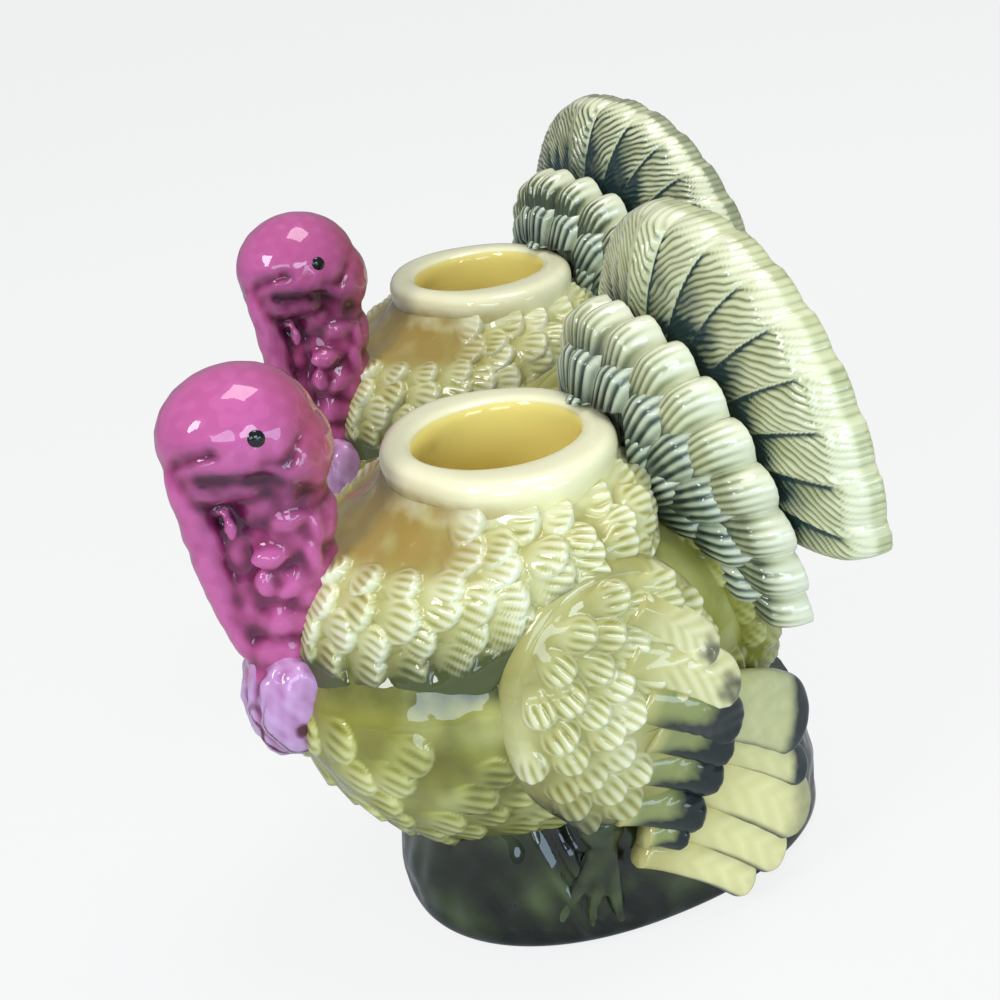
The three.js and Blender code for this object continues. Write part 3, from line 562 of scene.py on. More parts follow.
def colour_property(name, description, hexa):
    return bpy.props.StringProperty(name=name, description=description + ", as sRGB hex", default=hexa)


class TurkeySizes(bpy.types.PropertyGroup):
    socket_radius: length_property("Socket Radius", "Radius of the candle's hole", 0.011)
    rim_height: length_property("Rim Height", "Height of the cup's rim above the table", 0.0695)
    fan_radius: length_property("Fan Radius", "Reach of the tail's outer feathers", 0.03675)
    ring_radius: length_property("Ring Radius", "Reach of the tail's middle tier", 0.0294)
    covert_radius: length_property("Covert Radius", "Reach of the tail's inner tier", 0.0240)
    fan_feathers: bpy.props.IntProperty(name="Fan Feathers", description="Feathers of the outer fan", default=17,
                                        min=5, max=31)


class TurkeyGlazes(bpy.types.PropertyGroup):
    cream: colour_property("Cream", "Glaze of the mantle where it is thin", "#f5f4dc")
    olive: colour_property("Olive", "Glaze of the breast", "#a9a748")
    teal: colour_property("Teal", "Airbrushed feather roots", "#253b3b")
    moss: colour_property("Moss", "Glaze of the foot", "#2c3515")
    plum: colour_property("Plum", "Glaze of the head", "#9f3a6b")


def millimetres(name):
    """One of TurkeySizes in millimetres."""
    return getattr(bpy.context.scene.turkey_sizes, name) / MM


class TURKEY_OT_cup(bpy.types.Operator):
    """Cast the candle cup with its soft uneven rim"""
    bl_idname = "turkey.cup"
    bl_label = "Candle Cup"

    def execute(self, context):
        bore, top = millimetres("socket_radius"), millimetres("rim_height")
        floor = top - SOCKET_DEPTH
        turn = around(260)
        c, s = np.cos(turn), np.sin(turn)
        half, limit = (1 / np.sqrt((c / x) ** 2 + (s / y) ** 2) for x, y in (CUP_HALVES, CUP_LIMITS))
        half = np.minimum(half + 0.25 * np.cos(3 * turn + 0.6) + 0.2 * np.cos(5 * turn + 2.0), limit)
        outside = [(-1.4, 42.0), (-0.9, 60.0), (-0.35, top - 6.0), (-0.3, top - 4.6), (-0.2, top - 3.4),
                   (0.0, top - 2.2), (0.0, top - 1.3), (-0.3, top - 0.6), (-0.9, top - 0.15), (-1.6, top), (-2.4, top)]
        socket = [(1.0, top - 0.02), (0.5, top - 0.25), (0.15, top - 0.8), (0.0, top - 1.6), (0.0, top - 2.6),
                  (-0.3, floor + 12), (-0.6, floor + 2), (-1.1, floor + 0.6), (-2.6, floor), (-6, floor)]
        rings = [(half + inset, z) for inset, z in outside] + [(bore + more, z) for more, z in socket]
        grid = np.stack([np.stack([r * c, CUP_Y + r * s, np.full_like(c, z)], -1) for r, z in rings])
        dense = []
        for a, b in zip(grid[:-1], grid[1:]):
            count = max(1, int(np.linalg.norm(b - a, axis=-1).mean() / 0.5))
            dense += [a + (b - a) * k / count for k in range(count)]
        grid = np.stack([*dense, grid[-1]])
        for _ in range(3):
            grid[1:-1] = (grid[:-2] + 2 * grid[1:-1] + grid[2:]) / 4
        x, y, z = grid.reshape(-1, 3).T
        inside = (np.hypot(x, y - CUP_Y) < bore + 0.6) & (z < top - 0.6)
        pool = np.where(inside, 0.12, np.where(z > top - 1.2, 1.0, 0.6 + 0.3 * ramp(z, top - 5, top - 2)))
        amber = 0.5 * ramp(-y, 12, 24) * (z < top - 1.5) * (1 - ramp(z, top - 4, top - 1.5))
        cast("candle_cup", piece_from_grid(grid, pool=pool, dark=amber), "glazed_earthenware_cream")
        return {"FINISHED"}


class TURKEY_OT_body(bpy.types.Operator):
    """Cast the breast and flanks with their soft scalloped feathers"""
    bl_idname = "turkey.body"
    bl_label = "Body"

    def execute(self, context):
        low, high = BODY_Z
        t = even_rows([(h, (high - low) * h, w * BODY_HALF) for h, w, _ in BODY_LEVELS], 170)
        grid = np.stack([oval_ring(BODY_HALF * w, BODY_FRONT * r, BODY_BACK * r, BODY_Y, low + (high - low) * h,
                                   BODY_SQUARE, around(440)) for h, (w, r) in zip(t, spline(BODY_LEVELS, t))])
        n, P, N = skin(grid)
        feathers = rows_on_grid(grid, n, np.linspace(0.9, 0.08, 11), 7.6, 7.8, 3, droop=0.35, closeness=0.82,
                                missing=0.08, skip=lambda p: p[2] > 42.5 - 6.5 * ramp(p[1], -42, -30))
        H, pool, tone = stamp(P, N, feathers, lift=0.8, crown=0.45, edge=1.3, ribs=0.13, count=4.2)
        H = H + 0.15 * waves(P, 9, 5)
        x, y, z = P.T
        by_wing = ramp(np.abs(x), 17, 24) * ramp(z, 18, 24) * (1 - ramp(z, 46, 54)) * (1 - ramp(y, -27, -20))
        shaded = 0.4 * ramp(-z, -30, -15) + 0.42 * ramp(z, 43.5, 47.0) * ramp(-y, 14, 26)
        dark = np.clip(0.5 * by_wing * (0.6 + 0.5 * waves(P, 7, 8)) + shaded, 0, 1) * (1 - 0.4 * pool)
        plain = ramp(z, 37, 41) * ramp(y, -42, -34)
        pool = 0.12 + 0.7 * np.maximum(pool, 0.42 * plain) + 0.16 * waves(P, 12, 9) + 0.06 * tone
        grid = lined(raised(grid, N, H - 0.95), (56.5, 52.0, 48.0, 44.0))
        cast("body", piece_from_grid(grid, pool=pool, dark=dark), "glazed_earthenware_olive")
        return {"FINISHED"}


class TURKEY_OT_mantle(bpy.types.Operator):
    """Cast the ruff of crisp small feathers round the cup"""
    bl_idname = "turkey.mantle"
    bl_label = "Mantle"

    def execute(self, context):
        t = even_rows([(k, spread * 9, rise * 22 + lift) for k, spread, lift, rise in MANTLE_PROFILE], 195)
        turn = around(460)
        c, s = np.cos(turn), np.sin(turn)
        wobble = 0.6 * np.cos(5 * turn + 1.0) + 0.4 * np.cos(9 * turn)
        hem = MANTLE_HEM[1] + (MANTLE_HEM[0] - MANTLE_HEM[1]) * smooth((-s - 0.05) / 0.6) + wobble
        reach = np.where(s < 0, *MANTLE_REACH)
        neck_x, neck_y = MANTLE_NECK
        grid = np.stack([np.stack([neck_x * c + (MANTLE_HALF - neck_x) * c * spread,
                                   CUP_Y + neck_y * s + (reach - neck_y) * s * spread,
                                   hem + (MANTLE_TOP - hem) * rise + lift], -1)
                         for spread, lift, rise in spline(MANTLE_PROFILE, t)])
        n, P, N = skin(grid)
        feathers = rows_on_grid(grid, n, np.linspace(0.95, 0.17, 8), 7.0, 6.6, 11, droop=0.35, closeness=0.9,
                                skip=lambda p: p[2] > 65.8 - 3.4 * ramp(-p[1], 25, 31))
        H, pool, tone = stamp(P, N, feathers, lift=1.2, crown=0.5, edge=0.8, ribs=0.17, count=5.4, root_share=0.34)
        x, y, z = P.T
        above_hem = ramp((grid[..., 2] - grid[..., 2].min(axis=0)).ravel() - 5.0 * ramp(-y, 20, 34), 1.0, 3.5)
        H = (1 - above_hem) + H * above_hem + 0.12 * waves(P, 7, 13)
        # Painted shade: the lower front and lower sides of the mantle are darkened, and so is the front of the roll
        # along its hem
        low = (1 - ramp(z, 47, 55)) * ramp(-y, 16, 26)
        pool = np.maximum(pool, 0.55 * ramp(z, 64.0, 65.4))
        pool = np.clip(0.12 + 0.85 * pool + 0.1 * waves(P, 10, 12) + 0.06 * tone - 0.25 * low, 0, 1)
        dark = ((0.45 * low + 0.25 * ramp(np.abs(x), 14, 20) * (1 - ramp(z, 50, 57))) * (1.2 - pool)
                + (0.5 + 0.15 * waves(P, 8, 15)) * (1 - above_hem) * ramp(-y, 0, 20))
        slope = ramp(-y, 20, 30) * ramp(z, 59, 64)
        amber = 0.75 * slope * (1.15 - 0.6 * pool + 0.3 * waves(P, 6, 14))
        grid = lined(raised(grid, N, H - 1.35), (64.5, 60.0, 55.0, 50.0))
        cast("mantle", piece_from_grid(grid, looped=True, pool=pool, dark=dark, pale=amber),
             "glazed_earthenware_mantle")
        return {"FINISHED"}


def tier(hub, inner, radius, root, dish, sweep, bend, half_angle, count, thick, scallop, shingle, crown, ribs, seed,
         round_edge, barbs=False, rib_count=5, clear_cup=False, skew=0.0):
    """One tier of the tail as a thick plate of feathers, which lie over each other from the top one down.
    Gives its points and what the painter needs: share of length, share across, feather, side, groove and how far
    each point faces the front."""
    front, behind = 54, 21
    turn = np.linspace(-half_angle, half_angle, count * 40 + 1)
    step = 2 * half_angle / count
    corner, back = round_edge / (radius - inner), PLATE_BACK / (radius - inner)
    phi = np.linspace(0, math.pi / 2, 9)[1:]
    loop_a = np.r_[(1 - (1 - np.linspace(0, 1, front)) ** 1.25) * (1 - corner), 1 - corner + corner * np.sin(phi),
                   np.ones(3), 1 - back + back * np.cos(phi), np.linspace(1 - back, 0, behind + 1)[1:]]
    loop_d = np.r_[np.zeros(front), round_edge * (1 - np.cos(phi)),
                   np.linspace(round_edge, thick - PLATE_BACK, 5)[1:4],
                   thick - PLATE_BACK + PLATE_BACK * np.sin(phi), np.full(behind, thick)]
    shade = np.r_[np.ones(front), np.linspace(1, 0.35, 8), np.full(3, 0.3), np.linspace(0.25, 0.1, 8),
                  np.full(behind, 0.1)]
    A, D = (np.broadcast_to(loop, (len(turn), len(loop))) for loop in (loop_a, loop_d))
    T = turn[:, None] - skew * np.sign(turn[:, None]) * (A - 0.5) * ramp(np.abs(turn[:, None]), 0.1, 0.5)
    place = np.clip((T + half_angle) / step, 0, count - 1e-6)
    k = np.floor(place).astype(int)
    f = place - k
    side = np.sign(k - (count - 1) / 2)
    g = np.where(side > 0, f, np.where(side < 0, 1 - f, 0.5))
    hump = 1 - (2 * f - 1) ** 2
    rise = np.where(side == 0, 1.15 * smooth(np.minimum(f, 1 - f) / 0.12), (0.15 + 0.85 * g) * smooth((1 - g) / 0.1))
    uneven = (1 + 0.25 * rng(seed).uniform(-1, 1, count))[k]
    hump_end = (1 - (2 * ((turn + half_angle) / step % 1.0) - 1) ** 2) ** 0.8
    last = np.clip((np.abs(turn) - (half_angle - 0.5 * step)) / (0.5 * step), 0, 1)
    rounding = np.sqrt(np.clip(1 - 0.97 * last**2, 0, 1))
    reach = inner + (radius - scallop * (1 - hump_end) - inner) * (0.35 + 0.65 * rounding)
    D = D * rounding[:, None] + 0.5 * thick * (1 - rounding[:, None])
    R = inner + (reach[:, None] - inner) * A
    if barbs:
        down = np.where(side > 0, f * step * R, step * R - f * step * R)
        cut_by_hand = waves(np.stack([down, R, 9.0 * k], -1).reshape(-1, 3), 7, seed + 60).reshape(R.shape)
        phase = (R - 1.1 * down) / 1.35 + 3.0 * uneven + 0.4 * cut_by_hand
    else:
        phase = (f - 0.5) * rib_count
    rib = 0.5 + 0.5 * np.cos(2 * math.pi * phase)
    groove = (1 - rib) ** (3.2 if barbs else 1.5)
    tip = 1 - 0.45 * ramp(A, 0.89, 0.95) if barbs else 0.35 + 0.65 * ramp(A, 0.3, 0.6)
    # The barbs of the fan run on over its rounded edge
    cut = np.where(shade > 0.2, np.maximum(shade, 0.8), shade) if barbs else shade
    groove = groove * tip * cut * ramp(hump, 0.05, 0.3)
    R = R - (0.9 * ribs * groove * ramp(A, 0.93, 1.0) if barbs else 0)
    dent = ribs * groove * (1 - ramp(A, 0.95, 1.0) if barbs else 1)
    relief = (shingle * rise * uneven + crown * (hump**0.45 - 0.6)) * shade * rounding[:, None] * (0.35 + 0.65 * A)
    swept = sweep * (np.abs(turn[:, None]) / (math.pi / 2)) ** bend
    y = root + swept + dish * (1 - np.sqrt(1 - 0.97 * A * A)) - (relief - dent - D)
    x, z = TAIL_WIDTH * R * np.sin(turn[:, None]), hub + R * np.cos(turn[:, None])
    if clear_cup:
        half_x, half_y, top = CUP_ROOM
        behind_cup = CUP_Y + half_y * np.sqrt(np.clip(1 - (x / half_x) ** 2, 0, 1)) + 0.3
        y = np.where(z < top, np.maximum(y, behind_cup), y)
    return np.stack([x, y, z], -1), A, g, k, side, groove, shade


class TURKEY_OT_tail_fan(bpy.types.Operator):
    """Cast the outer fan of the tail"""
    bl_idname = "turkey.tail_fan"
    bl_label = "Tail Fan"

    def execute(self, context):
        count = context.scene.turkey_sizes.fan_feathers
        grid, a, g, k, side, groove, shade = tier(
            FAN_HUB, 20.0, millimetres("fan_radius"), 8.55, 6.8, 7.0, 0.8, math.radians(100.5), count, 4.6,
            scallop=0.55, shingle=1.0, crown=0.15, ribs=0.3, seed=21, barbs=True, skew=0.12, round_edge=1.6)
        blotch = rng(44).uniform(0.7, 1.15, count)[k]
        cloud = (0.5 + 0.5 * waves(grid.reshape(-1, 3), 5, 45)).reshape(a.shape)
        edge = ramp(a, 0.91, 0.97)
        roots = 1 - ramp(a + 0.25 * (g - 0.5), 0.2 * blotch, 0.74 * blotch)
        # Painted shadow: a dark line along the edge of each feather where the next one lies over it
        overlap_shadow = (1 - ramp(g, 0.03, 0.14)) * (1 - ramp(a, 0.84, 0.93)) * (side != 0)
        top = 1 - 0.7 * (side == 0) - 0.35 * (np.abs(k - (count - 1) / 2) == 1) * (a < 0.5)
        dark = ((roots * (0.55 + 0.6 * cloud) + 0.7 * overlap_shadow) * top * (1 - edge) + 0.3 * groove) * ramp(shade, 0.3, 0.9)
        outer = 1 - ramp(shade, 0.28, 0.55)
        piece = piece_from_grid(grid, pool=0.35 + 0.4 * a + 0.25 * g + 0.2 * (cloud - 0.5) - 0.6 * groove - 0.3 * outer,
                                dark=dark, pale=0.5 * edge * (1 - 0.9 * groove) * (1 - 0.8 * outer))
        # The rear bird's fan is sprayed darker between its pale edge and its grooves
        lift = 0.35 * (piece["pale"] < 0.3) * (piece["pool"] > 0.2)
        rear = {"dark": np.clip(piece["dark"] * 1.2 + lift * (1 - ramp(piece["pool"], 0.5, 0.9)), 0, 1)}
        cast("tail_fan", piece, "glazed_earthenware_fan", rear_paint=rear)
        return {"FINISHED"}


class TURKEY_OT_tail_ring(bpy.types.Operator):
    """Cast the ribbed middle tier of the tail"""
    bl_idname = "turkey.tail_ring"
    bl_label = "Tail Ring"

    def execute(self, context):
        grid, a, _, k, _, groove, shade = tier(
            TIER_HUB, 19.0, millimetres("ring_radius"), 1.0, 3.8, 8.5, 1.2, math.radians(121), 17, 4.2,
            scallop=3.1, shingle=0.9, crown=1.9, ribs=0.26, seed=22, rib_count=6, round_edge=2.0)
        upper = np.clip(1 - np.abs(k - 8) / 3.0, 0, 1) * (1 - ramp(a, 0.55, 0.95))
        low = ramp(np.abs(k - 8), 3, 7) * (1 - ramp(a, 0.78, 0.98))
        dark = (0.8 * (1 - ramp(a, 0.2, 0.6)) + 0.5 * upper + 0.45 * low + 0.35 * groove) * ramp(shade, 0.2, 0.8)
        piece = piece_from_grid(grid, pool=0.45 + 0.5 * a - 0.5 * groove, dark=dark,
                                pale=0.35 * ramp(a, 0.9, 0.99) * (1 - groove))
        rear = {"dark": np.clip(piece["dark"] * 1.3 + 0.3 * (piece["pale"] < 0.1) * (piece["pool"] < 0.8), 0, 1)}
        cast("tail_ring", piece, "glazed_earthenware_ring", rear_paint=rear)
        return {"FINISHED"}


class TURKEY_OT_tail_coverts(bpy.types.Operator):
    """Cast the two inner rows of blue-green tail feathers"""
    bl_idname = "turkey.tail_coverts"
    bl_label = "Tail Coverts"

    def execute(self, context):
        made = []
        radius = millimetres("covert_radius")
        for inner, reach, root, count, seed in ((13.5, radius + 0.8, -1.2, 15, 23), (9.5, radius - 4.6, -2.4, 13, 24)):
            grid, a, _, _, _, groove, shade = tier(
                TIER_HUB, inner, reach, root, 3.2, 8.2, 1.2, math.radians(134), count, 3.4, scallop=2.0, shingle=0.6,
                crown=1.8, ribs=0.3, seed=seed, round_edge=1.8, clear_cup=True)
            cloud = (0.5 + 0.5 * waves(grid.reshape(-1, 3), 7, seed + 9)).reshape(a.shape)
            dark = (0.75 * (1 - ramp(a, 0.3, 0.8)) * (0.5 + 0.6 * cloud) + 0.6 * groove) * ramp(shade, 0.1, 0.6)
            made.append(piece_from_grid(grid, pool=0.25 + 0.55 * a + 0.2 * cloud - 0.55 * groove, dark=dark,
                                        pale=0.45 * ramp(a, 0.9, 0.99) * (1 - groove)))
        cast("tail_coverts", joined(made), "glazed_earthenware_teal")
        return {"FINISHED"}


class TURKEY_OT_rump(bpy.types.Operator):
    """Cast the rump under the tail"""
    bl_idname = "turkey.rump"
    bl_label = "Rump"

    def execute(self, context):
        grid = egg(RUMP_CENTRE, RUMP_HALVES, 120, 260, 0.03)
        n, P, N = skin(grid)
        feathers = rows_on_grid(grid, n, np.linspace(0.94, 0.06, 13), 5.6, 6.4, 31, middle=3.0, droop=0.9)
        H, pool, _ = stamp(P, N, feathers, lift=0.8, crown=0.3, edge=0.8, ribs=0.16, count=4)
        piece = piece_from_grid(raised(grid, N, H - 0.9), pool=0.2 + 0.6 * pool + 0.1 * waves(P, 11, 6),
                                dark=0.45 * (1 - ramp(P[:, 2], 18, 34)) + 0.2 * waves(P, 9, 7))
        cast("rump", piece, "glazed_earthenware_olive")
        return {"FINISHED"}


class TURKEY_OT_wings(bpy.types.Operator):
    """Cast the shoulders of the wings with their scalloped coverts"""
    bl_idname = "turkey.wings"
    bl_label = "Wings"

    def execute(self, context):
        turn = around(330)
        swell = 1 + 0.05 * np.exp(-((turn - 0.75) / 0.5) ** 2)
        # The first three rings are sunk into the body
        rings = [(1.0, -7.0), (1.0, -4.0), (1.0, -1.5)]
        rings += [(size, 3.3 * math.sqrt(max(0.0, 1 - size**5)) - 1.2 * (size > 0.995))
                  for size in np.linspace(1.0, 0.02, 80)]
        grid = []
        for size, proud in rings:
            y = WING_YZ[0] + WING_HALVES[0] * size * np.cos(turn) * swell
            z = WING_YZ[1] + WING_HALVES[1] * size * np.sin(turn) * swell
            grid.append(np.stack([flank(y, z) + proud, y, z], -1))
        grid = np.stack(grid)
        _, P, N = skin(grid)
        N = np.where(N[:, :1] < 0, -N, N)

        def from_middle(y, z):
            return np.hypot((y - WING_YZ[0]) / WING_HALVES[0], (z - WING_YZ[1]) / WING_HALVES[1])
        r = rng(51)
        feathers = []
        for j, far in enumerate(np.arange(-2.0, 32.0, 3.9)):
            wide = 5.0 + 0.035 * far
            count = max(2, int(round(max(far, 3) * math.radians(112) / (wide * 0.9))) + 1)
            for k in range(count):
                angle = math.radians(10 - 112 * (k + 0.5 * (j % 2)) / count + 3 * r.uniform(-1, 1))
                way = np.array([0.0, math.cos(angle * 0.8), math.sin(angle * 0.8)])
                y, z = WING_START + (far + 0.4 * r.uniform(-1, 1)) * np.array([math.cos(angle), math.sin(angle)])
                if from_middle(y, z) > 0.97 or (y > -11.8 and z < 41):
                    continue
                i = int(np.argmin((P[:, 1] - y) ** 2 + (P[:, 2] - z) ** 2 + 1e3 * (P[:, 0] < 20)))
                feathers.append({"at": P[i] - way * 1.5, "normal": N[i], "way": way, "long": 6.6,
                                 "wide": wide * (1 + 0.1 * r.uniform(-1, 1)), "tone": r.uniform(-1, 1),
                                 "phase": 0.6 * r.uniform(-1, 1), "lift": 1 + 0.2 * r.uniform(-1, 1)})
        H, pool, tone = stamp(P, N, feathers, lift=1.0, crown=0.55, edge=1.1, ribs=0.16, count=4.2)
        x, y, z = P.T
        out = ramp(x - flank(y, z), -1.5, 0.2)
        # Painted shade together with pooled glaze: the lower front of the wing is darker, most of all towards its rim
        low = ramp(-z, -36, -24) * (1 - ramp(y, -18, -4))
        pool = np.clip(0.15 + 0.8 * pool + 0.1 * waves(P, 10, 52) + 0.06 * tone - 0.25 * low, 0, 1)
        rimmed = ramp(from_middle(y, z), 0.75, 1.0)
        dark = np.clip(0.6 * low * rimmed + 0.2 * low + 0.15 * waves(P, 8, 53) * rimmed, 0, 1) * (1 - 0.5 * pool)
        left = piece_from_grid(raised(grid, N, (H - 0.8) * out), pool=pool, dark=dark)
        cast_pair("wing", left, "glazed_earthenware_wing")
        return {"FINISHED"}


class TURKEY_OT_wing_tips(bpy.types.Operator):
    """Cast the dark-tipped coverts behind each wing"""
    bl_idname = "turkey.wing_tips"
    bl_label = "Wing Tips"

    def execute(self, context):
        def masks(k, a, x, rib):
            if k < DARK_TIPS:
                ends = ramp(a, 0.42, 0.78) + ramp(-x, 0.1, 0.75) * ramp(a, 0.05, 0.35)
                return {"dark": ends * (1 - 0.1 * rib), "pale": 0.8 * ramp(a, 0, 0.2)}
            ends = 0.6 * ramp(a, 0.72, 0.86) * (1 - ramp(np.abs(x), 0.3, 0.7))
            return {"dark": ends * (1 - 0.1 * rib)}
        left = flank_feathers(WING_TIPS, masks, thick=2.6, crown=0.8, tilt=-0.35, rise=(-0.5, 0.1), bow=0.8, blunt=0.9,
                              root_share=0.8, pitch=2.1, depth=0.13, steps=(50, 28))
        cast_pair("wing_tips", left, "glazed_earthenware_tips")
        return {"FINISHED"}


class TURKEY_OT_primaries(bpy.types.Operator):
    """Cast the long flight feathers of each wing"""
    bl_idname = "turkey.primaries"
    bl_label = "Flight Feathers"

    def execute(self, context):
        def masks(k, a, x, rib):
            rim = ramp(a + 0.06 * x, 0.76, 0.93) * PRIMARY_RIM[k]
            return {"dark": rim + ramp(-x, 0.7, 0.97) * 0.75 * ramp(a, 0.2, 0.5), "pale": PRIMARY_GREEN[k]}
        left = flank_feathers(PRIMARIES, masks, thick=3.0, crown=0.9, tilt=-0.5, rise=(-0.4, -0.2), bow=1.2, blunt=0.8,
                              root_share=0.7, pitch=3.4, depth=0.07, steps=(60, 30))
        cast_pair("primaries", left, "glazed_earthenware_primary")
        return {"FINISHED"}


def rope(balls, per=3):
    """The balls with more between each two, so that they run together smoothly."""
    rows = np.array(balls)
    t = np.linspace(0, len(rows) - 1, per * (len(rows) - 1) + 1)
    return [tuple(np.interp(i, np.arange(len(rows)), rows[:, k]) for k in range(4)) for i in t]


def read(items, name, width, kind=float):
    """One property of a mesh's items as rows of an array."""
    flat = np.empty(len(items) * width, kind)
    items.foreach_get(name, flat)
    return flat.reshape(-1, width)


def pressed(balls, voxel):
    """Balls of clay run together into one soft skin. Gives its points, normals, edges and faces."""
    base = bpy.data.meshes.new("clay")
    bm = bmesh.new()
    for x, y, z, *halves in balls:
        halves = halves if len(halves) == 3 else halves * 3
        for v in bmesh.ops.create_icosphere(bm, subdivisions=3, radius=1.0)["verts"]:
            v.co = (x + v.co.x * halves[0], y + v.co.y * halves[1], z + v.co.z * halves[2])
    bm.to_mesh(base)
    bm.free()
    obj = bpy.data.objects.new("clay", base)
    bpy.context.scene.collection.objects.link(obj)
    melt = obj.modifiers.new("melt", "REMESH")
    melt.mode = "VOXEL"
    melt.voxel_size = voxel
    soft = obj.modifiers.new("soft", "SMOOTH")
    soft.factor = 0.6
    soft.iterations = 7
    out = bpy.data.meshes.new_from_object(obj.evaluated_get(bpy.context.evaluated_depsgraph_get()))
    v, n = read(out.vertices, "co", 3), read(out.vertex_normals, "vector", 3)
    edges = read(out.edges, "vertices", 2, np.int32)
    faces = [tuple(p.vertices) for p in out.polygons]
    q, t = (np.array([f for f in faces if len(f) == sides], int).reshape(-1, sides) for sides in (4, 3))
    bpy.data.objects.remove(obj)
    bpy.data.meshes.remove(base)
    bpy.data.meshes.remove(out)
    return v, n, edges, q, t


def hollowness(v, n, edges, rounds=30):
    """How far each point lies in a hollow, in millimetres, below 0, or on a ridge, above 0."""
    count = np.bincount(edges.ravel(), minlength=len(v))[:, None]
    soft = v
    for _ in range(rounds):
        total = np.stack([np.bincount(edges[:, 0], soft[edges[:, 1], k], len(v))
                          + np.bincount(edges[:, 1], soft[edges[:, 0], k], len(v)) for k in range(3)], 1)
        soft = 0.4 * soft + 0.6 * total / np.maximum(count, 1)
    return ((v - soft) * n).sum(1)


class TURKEY_OT_head(bpy.types.Operator):
    """Press and glaze the head, neck, snood, beak and wattle"""
    bl_idname = "turkey.head"
    bl_label = "Head and Neck"

    def execute(self, context):
        lumps = LUMPS + [(-x, *rest) for x, *rest in LUMPS]
        v, n, edges, q, t = pressed(HOOD + NECK + rope(SNOOD) + lumps + BEAK, 0.42)
        dome = ramp(v[:, 2], 76, 80) * (1 - ramp(v[:, 1], -44, -38) * 0.3)
        v = v + n * (0.12 * waves(v, 4.0, 62) * (1 - 0.9 * dome))[:, None]
        cheek = np.zeros(len(v))
        for line, wide, deep in FOLDS:
            away = np.full(len(v), 99.0)
            for a, b in zip(line[:-1], line[1:]):
                a, b = np.array(a), np.array(b)
                part = np.clip((v[:, 1:] - a) @ (b - a) / ((b - a) @ (b - a)), 0, 1)
                away = np.minimum(away, np.linalg.norm(v[:, 1:] - a - part[:, None] * (b - a), axis=1))
            v = v - n * (deep * np.exp(-((away / wide) ** 2)) * ramp(np.abs(v[:, 0]), 2.0, 4.0))[:, None]
            # Painted shade along each fold, a little wider than the carved groove
            painted = 0.8 * deep * np.exp(-((away / (1.6 * wide)) ** 2)) * ramp(np.abs(v[:, 0]), 2.0, 4.0)
            cheek = np.maximum(cheek, painted)
        hollow = hollowness(v, n, edges)
        y, z = v[:, 1], v[:, 2]
        # Painted shade under the overhanging hood, less on its ridges, and in the deepest hollows, where it adds to
        # pooled glaze
        under = ramp(z, 66, 70) * (1 - ramp(z, 75, 78)) * (1 - ramp(y, -42, -38)) * ramp(y, -56, -52)
        dark = (0.45 * under * (1 - 0.7 * np.clip(0.5 + 2 * hollow, 0, 1)) + 0.8 * np.clip(-hollow - 0.1, 0, 1)
                + cheek * (0.7 + 0.5 * waves(v, 4, 66)))
        piece = closed_piece(v, q, t, pool=0.45 + 2.4 * hollow + 0.2 * dome, dark=dark,
                             pale=0.45 * ramp(y, -44, -37) * ramp(z, 68, 74))
        cast("head_and_neck", piece, "glazed_earthenware_plum", ["head", "neck", "snood", "beak"])
        v, n, edges, q, t = pressed(WATTLE, 0.36)
        v = v + n * (0.2 * waves(v, 3, 64))[:, None]
        hollow = hollowness(v, n, edges)
        streak = ramp(np.cos(v[:, 0] * 2.4 + 0.5 * waves(v, 6, 65) * 3), 0.75, 1.0) * (1 - ramp(v[:, 2], 40, 46))
        # The streaks are paint; the creases are darkened as painted shade on top of pooled glaze
        piece = closed_piece(v, q, t, pool=0.55 + 1.5 * hollow, dark=0.8 * streak + 0.9 * np.clip(-hollow - 0.1, 0, 1),
                             pale=0.4 * (1 - ramp(v[:, 2], 44, 49)) * ramp(hollow, -0.3, 0.3))
        cast("wattle", piece, "glazed_earthenware_wattle")
        return {"FINISHED"}


class TURKEY_OT_eyes(bpy.types.Operator):
    """Set the small black eyes"""
    bl_idname = "turkey.eyes"
    bl_label = "Eyes"

    def execute(self, context):
        left = piece_from_grid(egg(EYE, EYE_HALVES, 16, 32, 0.08), pool=0.5)
        cast_pair("eye", left, "black_underglaze")
        return {"FINISHED"}


class TURKEY_OT_foot(bpy.types.Operator):
    """Cast the foot on which the bird stands"""
    bl_idname = "turkey.foot"
    bl_label = "Foot"

    def execute(self, context):
        t = even_rows([(k, z, inset * 1.2) for k, z, inset in FOOT_PROFILE], 90)
        grid = np.stack([oval_ring(FOOT_HALF - 0.1 - inset, FOOT_REACH[0] - inset, FOOT_REACH[1] - inset, FOOT_Y,
                                   max(z, 0.0), FOOT_SQUARE, around(420)) for z, inset in spline(FOOT_PROFILE, t)])
        _, P, N = skin(grid)
        _, y, z = P.T
        up = ramp(z, 1.5, 5)
        streaks = np.cos((y + 0.35 * z) * 1.5 + 1.5 * waves(P, 18, 71)) * np.exp(-((y + 17) / 9.0) ** 2)
        relief = up * (0.5 * streaks + 0.3 * waves(P, 9, 72)) - 0.7 * up
        piece = piece_from_grid(raised(grid, N, relief), pool=0.45 + 0.35 * waves(P, 12, 73) + 0.25 * streaks,
                                dark=0.35 + 0.5 * waves(P, 16, 74) + 0.4 * (1 - ramp(z, 1, 6)))
        cast("foot", piece, "glazed_earthenware_moss")
        return {"FINISHED"}


